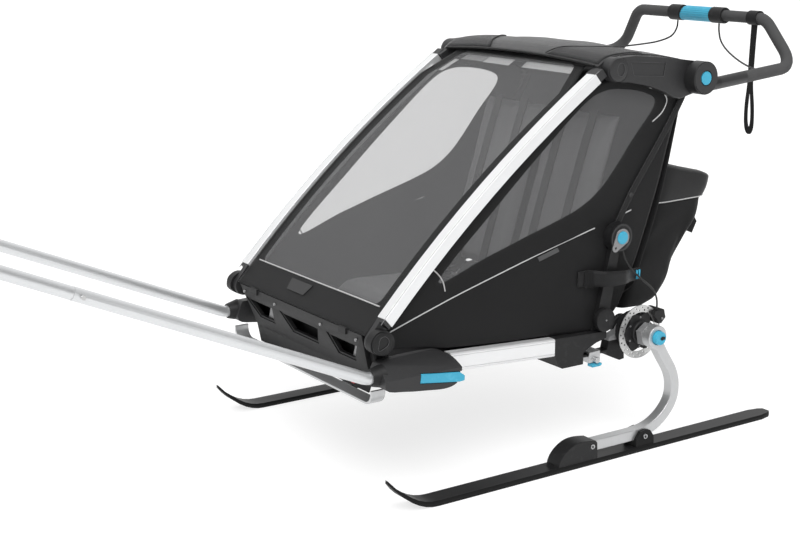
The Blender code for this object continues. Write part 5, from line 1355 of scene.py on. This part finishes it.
def loft(name, ringAt, rings, around, finish):
    # a circle of points is extruded ring by ring, and each ring is moved to its place
    shape = bmesh.new()
    flatMap = shape.loops.layers.uv.new("Flat")
    bmesh.ops.create_circle(shape, segments=around, radius=1.0)
    shape.verts.ensure_lookup_table()
    ring = sorted(shape.verts, key=lambda v: math.atan2(v.co.y, v.co.x))
    angles = {v: math.atan2(v.co.y, v.co.x) for v in ring}
    for v in ring:
        v.co = ringAt(0.0, angles[v])
    low = list(ring)
    edges = list(shape.edges)
    for i in range(1, rings + 1):
        grown = bmesh.ops.extrude_edge_only(shape, edges=edges)["geom"]
        edges = [g for g in grown if isinstance(g, bmesh.types.BMEdge)]
        verts = [g for g in grown if isinstance(g, bmesh.types.BMVert)]
        before = {tuple(round(c, 7) for c in v.co): angles[v] for v in ring}
        for v in verts:
            angles[v] = before[tuple(round(c, 7) for c in v.co)]
        for v in verts:
            v.co = ringAt(i / rings, angles[v])
        ring = verts
    for rim in (edges, [e for e in shape.edges if all(v in low for v in e.verts)]):
        cap = bmesh.ops.edgeloop_fill(shape, edges=rim)["faces"]
        for depth in (0.012, 0.03):
            bmesh.ops.inset_region(shape, faces=cap, thickness=depth, use_even_offset=True)
    bmesh.ops.recalc_face_normals(shape, faces=shape.faces)
    for face in shape.faces:
        for loop in face.loops:
            p = loop.vert.co
            loop[flatMap].uv = (p.x + p.y, p.z) if abs(face.normal.z) < 0.7 else (p.x, p.y)
    return finished(name, shape, finish)


bag = loft("bagBody", bagRing, bagLook["rings"], bagLook["around"], blackCloth)
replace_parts(bag, "cargo_bag")
crumpled(bag)

lidLook = {"half": 0.286, "square": 0.28, "skirt": 0.45, "narrow": 0.100, "crown": 0.0120, "rings": 18,
           "around": 96}


def lidRing(share, angle):
    # the lid: a skirt that turns in to a crowned top
    look = lidLook
    climb = min(1.0, share / look["skirt"])
    front = Vector((0.1000, 0.5930)).lerp(Vector((0.1370, 0.6910)), climb)
    rear = Vector((0.3115, 0.6000)).lerp(Vector((0.3325, 0.6420)), climb)
    middle = (front + rear) / 2
    deep = (rear - front).length / 2
    lean = (rear - front).normalized()
    up = Vector((-lean.y, lean.x))
    c, s = math.cos(angle), math.sin(angle)
    if share < look["skirt"]:
        inward, lift = 1.0 + 0.012 * math.sin(math.pi * climb), 0.0
    else:
        turn = (share - look["skirt"]) / (1 - look["skirt"])
        inward = 1.0 - look["narrow"] * turn ** 1.5
        lift = look["crown"] * math.sin(turn * math.pi / 2)
    a = math.copysign(abs(c) ** look["square"], c) * look["half"] * inward
    b = math.copysign(abs(s) ** look["square"], s) * deep * inward
    lift += 0.005 * climb * noise.noise(Vector((a * 8, b * 16, 2.0 + share)))
    y, z = middle + lean * b + up * lift
    return spot(a, y, z)


lid = loft("bagLid", lidRing, lidLook["rings"], lidLook["around"], lidCloth)
crumpled(lid)
lidHem = tubeAlong("bagPiping", [lidRing(0.02, -math.pi + 2 * math.pi * i / 160) for i in range(160)], 0.0016,
                   piping, closed=True)
crumpled(lidHem)
bagTab = prism([(0.246, 0.508), (0.266, 0.500), (0.282, 0.530), (0.272, 0.545), (0.258, 0.540)], 0.2700, 0.2722)
bagTab = rounded(finished("bagTab", bagTab, blackCloth), 0.0006, 2)
crumpled(bagTab)
print("bag ready")


# Seats: a backrest and a bench on each side, inflated as cloth

seatLine = pacer(smoothRoute([(-0.140, 0.386), (-0.105, 0.500), (-0.062, 0.640), (-0.022, 0.760), (0.005, 0.835)]))
seatLook = {"gap": 0.012, "edge": 0.273, "back": 0.022, "bench": 0.036, "benchFrom": -0.518, "benchTo": -0.158}


def cushion(name, placeAt, counts, finish, thick):
    # a crowned closed pad, made from a finely divided cube and thinner at its rim
    shape = bmesh.new()
    flatMap = shape.loops.layers.uv.new("Flat")
    bmesh.ops.create_cube(shape, size=1.0)
    bmesh.ops.subdivide_edges(shape, edges=shape.edges, cuts=counts, use_grid_fill=True)
    for v in shape.verts:
        u, w, side = v.co.x + 0.5, v.co.y + 0.5, v.co.z * 2
        rim = 1 - (2 * u - 1) ** 8
        end = 1 - (2 * w - 1) ** 8
        fat = thick * (0.30 + 0.70 * (max(0.0, rim) * max(0.0, end)) ** 0.5)
        base, out = placeAt(u, w)
        v.co = base + out * (fat * (side + 1) / 2)
    for face in shape.faces:
        for loop in face.loops:
            loop[flatMap].uv = (loop.vert.co.x, loop.vert.co.z + loop.vert.co.y)
    bmesh.ops.recalc_face_normals(shape, faces=shape.faces)
    return finished(name, shape, finish)


padLook = {"cell": 0.006, "pressure": 4.0, "frames": 16, "quality": 5, "mass": 0.2, "stiffness": 12,
           "backSwell": 0.007, "benchSwell": 0.005}


def puffed(piece, most):
    # the pad is remeshed and inflated as cloth; no point goes further than most
    scene = bpy.context.scene
    finish = piece.data.materials[0]
    even = piece.modifiers.new("even", "REMESH")
    even.mode = "VOXEL"
    even.voxel_size = padLook["cell"]
    piece.data = bpy.data.meshes.new_from_object(piece.evaluated_get(bpy.context.evaluated_depsgraph_get()))
    piece.modifiers.clear()
    start = np.empty(len(piece.data.vertices) * 3)
    piece.data.vertices.foreach_get("co", start)
    cloth = piece.modifiers.new("cloth", "CLOTH")
    cloth.settings.quality = padLook["quality"]
    cloth.settings.mass = padLook["mass"]
    cloth.settings.tension_stiffness = cloth.settings.compression_stiffness = padLook["stiffness"]
    cloth.settings.use_pressure = True
    cloth.settings.uniform_pressure_force = padLook["pressure"]
    cloth.settings.effector_weights.gravity = 0
    cloth.point_cache.frame_end = padLook["frames"]
    for frameNumber in range(1, padLook["frames"] + 1):
        scene.frame_set(frameNumber)
    made = bpy.data.meshes.new_from_object(piece.evaluated_get(bpy.context.evaluated_depsgraph_get()))
    piece.modifiers.clear()
    scene.frame_set(1)
    moved = np.empty(len(made.vertices) * 3)
    made.vertices.foreach_get("co", moved)
    step = (moved - start).reshape(-1, 3)
    reach = np.maximum(np.linalg.norm(step, axis=1, keepdims=True), 1e-9)
    made.vertices.foreach_set("co", (start.reshape(-1, 3) + step * np.minimum(1.0, most / reach)).ravel())
    made.materials.clear()
    made.materials.append(finish)
    flatMap = made.uv_layers.new(name="Flat")
    places = [made.vertices[loop.vertex_index].co for loop in made.loops]
    flatMap.data.foreach_set("uv", [value for p in places for value in (p.x, p.y + p.z)])
    piece.data = shaded(made)
    smooth = piece.modifiers.new("soften", "SUBSURF")
    smooth.levels = smooth.render_levels = 1
    print(piece.name, "inflated by up to", round(float(np.linalg.norm(step, axis=1).max()), 4))
    return piece


for name, side, sign in bothSides():
    def backAt(u, w, sign=sign):
        near, far = seatLook["gap"], seatLook["edge"]
        y, z = seatLine(w)
        ahead = seatLine(min(1, w + 0.02)) - seatLine(max(0, w - 0.02))
        out = Vector((0, -ahead.y, ahead.x)).normalized()
        x = sign * (near + (far - near) * u)
        groove = 0.006 * math.exp(-((u - 0.5) / 0.03) ** 2) + 0.005 * math.exp(-((w - 0.62) / 0.02) ** 2)
        return spot(x, y, z) + out * 0.001, out * (1 - groove * 20)

    back = puffed(cushion("seatBack" + name, backAt, 22, greyCloth, seatLook["back"]),
                  padLook["backSwell"])
    if sign > 0:
        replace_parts(back, "seat_backs")
    spot(0, 0, 0.386)
    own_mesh(back)
    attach(back, "chassis")

    def benchAt(u, w, sign=sign):
        y = seatLook["benchFrom"] + (seatLook["benchTo"] - seatLook["benchFrom"]) * w
        x = sign * (0.004 + 0.278 * u)
        dip = 0.008 * math.sin(math.pi * u) * math.sin(math.pi * min(1, w * 1.1))
        return spot(x, y, 0.3335 - 0.0545 * (y + 0.52) * 0.6), Vector((0, 0, 1 - dip * 15))

    bench = puffed(cushion("seatBench" + name, benchAt, 20, greyCloth, seatLook["bench"]),
                   padLook["benchSwell"])
    if sign > 0:
        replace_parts(bench, "seat_base")
    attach(bench, "chassis")
print("seats ready")


# Floor, light and camera

viewLook = {"azimuth": 56.0975, "elevation": 13.6224, "lens": 65.946, "place": (3.0253, -2.5275, 1.3285)}
azimuth, elevation = math.radians(viewLook["azimuth"]), math.radians(viewLook["elevation"])
towardCamera = Vector((math.sin(azimuth) * math.cos(elevation), -math.cos(azimuth) * math.cos(elevation),
                       math.sin(elevation)))
camera = bpy.data.objects.new("photo camera", bpy.data.cameras.new("photo camera"))
camera.data.sensor_width = 36
camera.data.lens = viewLook["lens"]
camera.data.clip_end = 200
camera.location = spot(*viewLook["place"])
camera.rotation_mode = "QUATERNION"
camera.rotation_quaternion = (-towardCamera).to_track_quat("-Z", "Y")
bpy.context.scene.collection.objects.link(camera)
bpy.context.scene.camera = camera


lightLook = {"floor": 0.73, "room": 0.16, "backdrop": 1.05, "top": 0.95, "key": 2.0, "fill": 0.55}


def floorFinish():
    finish = Finish("studio floor", {"Specular IOR Level": 0.2})
    patches = finish.cloud(0.6, 2.0)
    finish.put("Base Color", finish.mix((0.34, 0.34, 0.34), (0.36, 0.36, 0.36), patches))
    finish.put("Roughness", 0.7 + patches * 0.1)
    finish.shader.inputs["Emission Color"].default_value = (1, 1, 1, 1)
    finish.shader.inputs["Emission Strength"].default_value = lightLook["floor"]
    return finish.material


ground = bmesh.new()
bmesh.ops.create_circle(ground, cap_ends=True, segments=64, radius=60.0)
ground = finished("studioFloor", ground, floorFinish())


def greys(*stops):
    return [(place, (shade, shade, shade)) for place, shade in stops]


world = bpy.data.worlds.new("studio")
bpy.context.scene.world = world
sky = Shading(world, "BACKGROUND")
toward = sky.node("VectorMath", {"operation": "DOT_PRODUCT"},
                  {0: sky.place("Generated"), 1: (-towardCamera.x, -towardCamera.y, 0.0)},
                  out="Value")  # 1 at the backdrop
ahead = sky.node("ValToRGB", {"stops": greys((0.10, lightLook["room"]), (0.62, lightLook["backdrop"]))},
                 {0: toward})
above = sky.node("ValToRGB", {"stops": greys((0.45, 0.0), (0.85, lightLook["top"]))},
                 {0: sky.axes("Generated")[2]})
sky.put("Color", sky.node("Mix", {"data_type": "RGBA", "blend_type": "LIGHTEN"}, {0: 1.0, 6: ahead, 7: above},
                          out=2))
for label, strength, angle, aim in (("key", lightLook["key"], 40, (0.75, -0.45, 1.0)),
                                    ("fill", lightLook["fill"], 70, (0.1, -1.0, 0.5))):
    lamp = bpy.data.lights.new(label, "SUN")
    lamp.energy = strength
    lamp.angle = math.radians(angle)
    holder = bpy.data.objects.new(label, lamp)
    holder.rotation_mode = "QUATERNION"
    holder.rotation_quaternion = Vector(aim).to_track_quat("Z", "Y")
    bpy.context.scene.collection.objects.link(holder)
bpy.context.scene.view_settings.view_transform = "Standard"
print("stage ready")
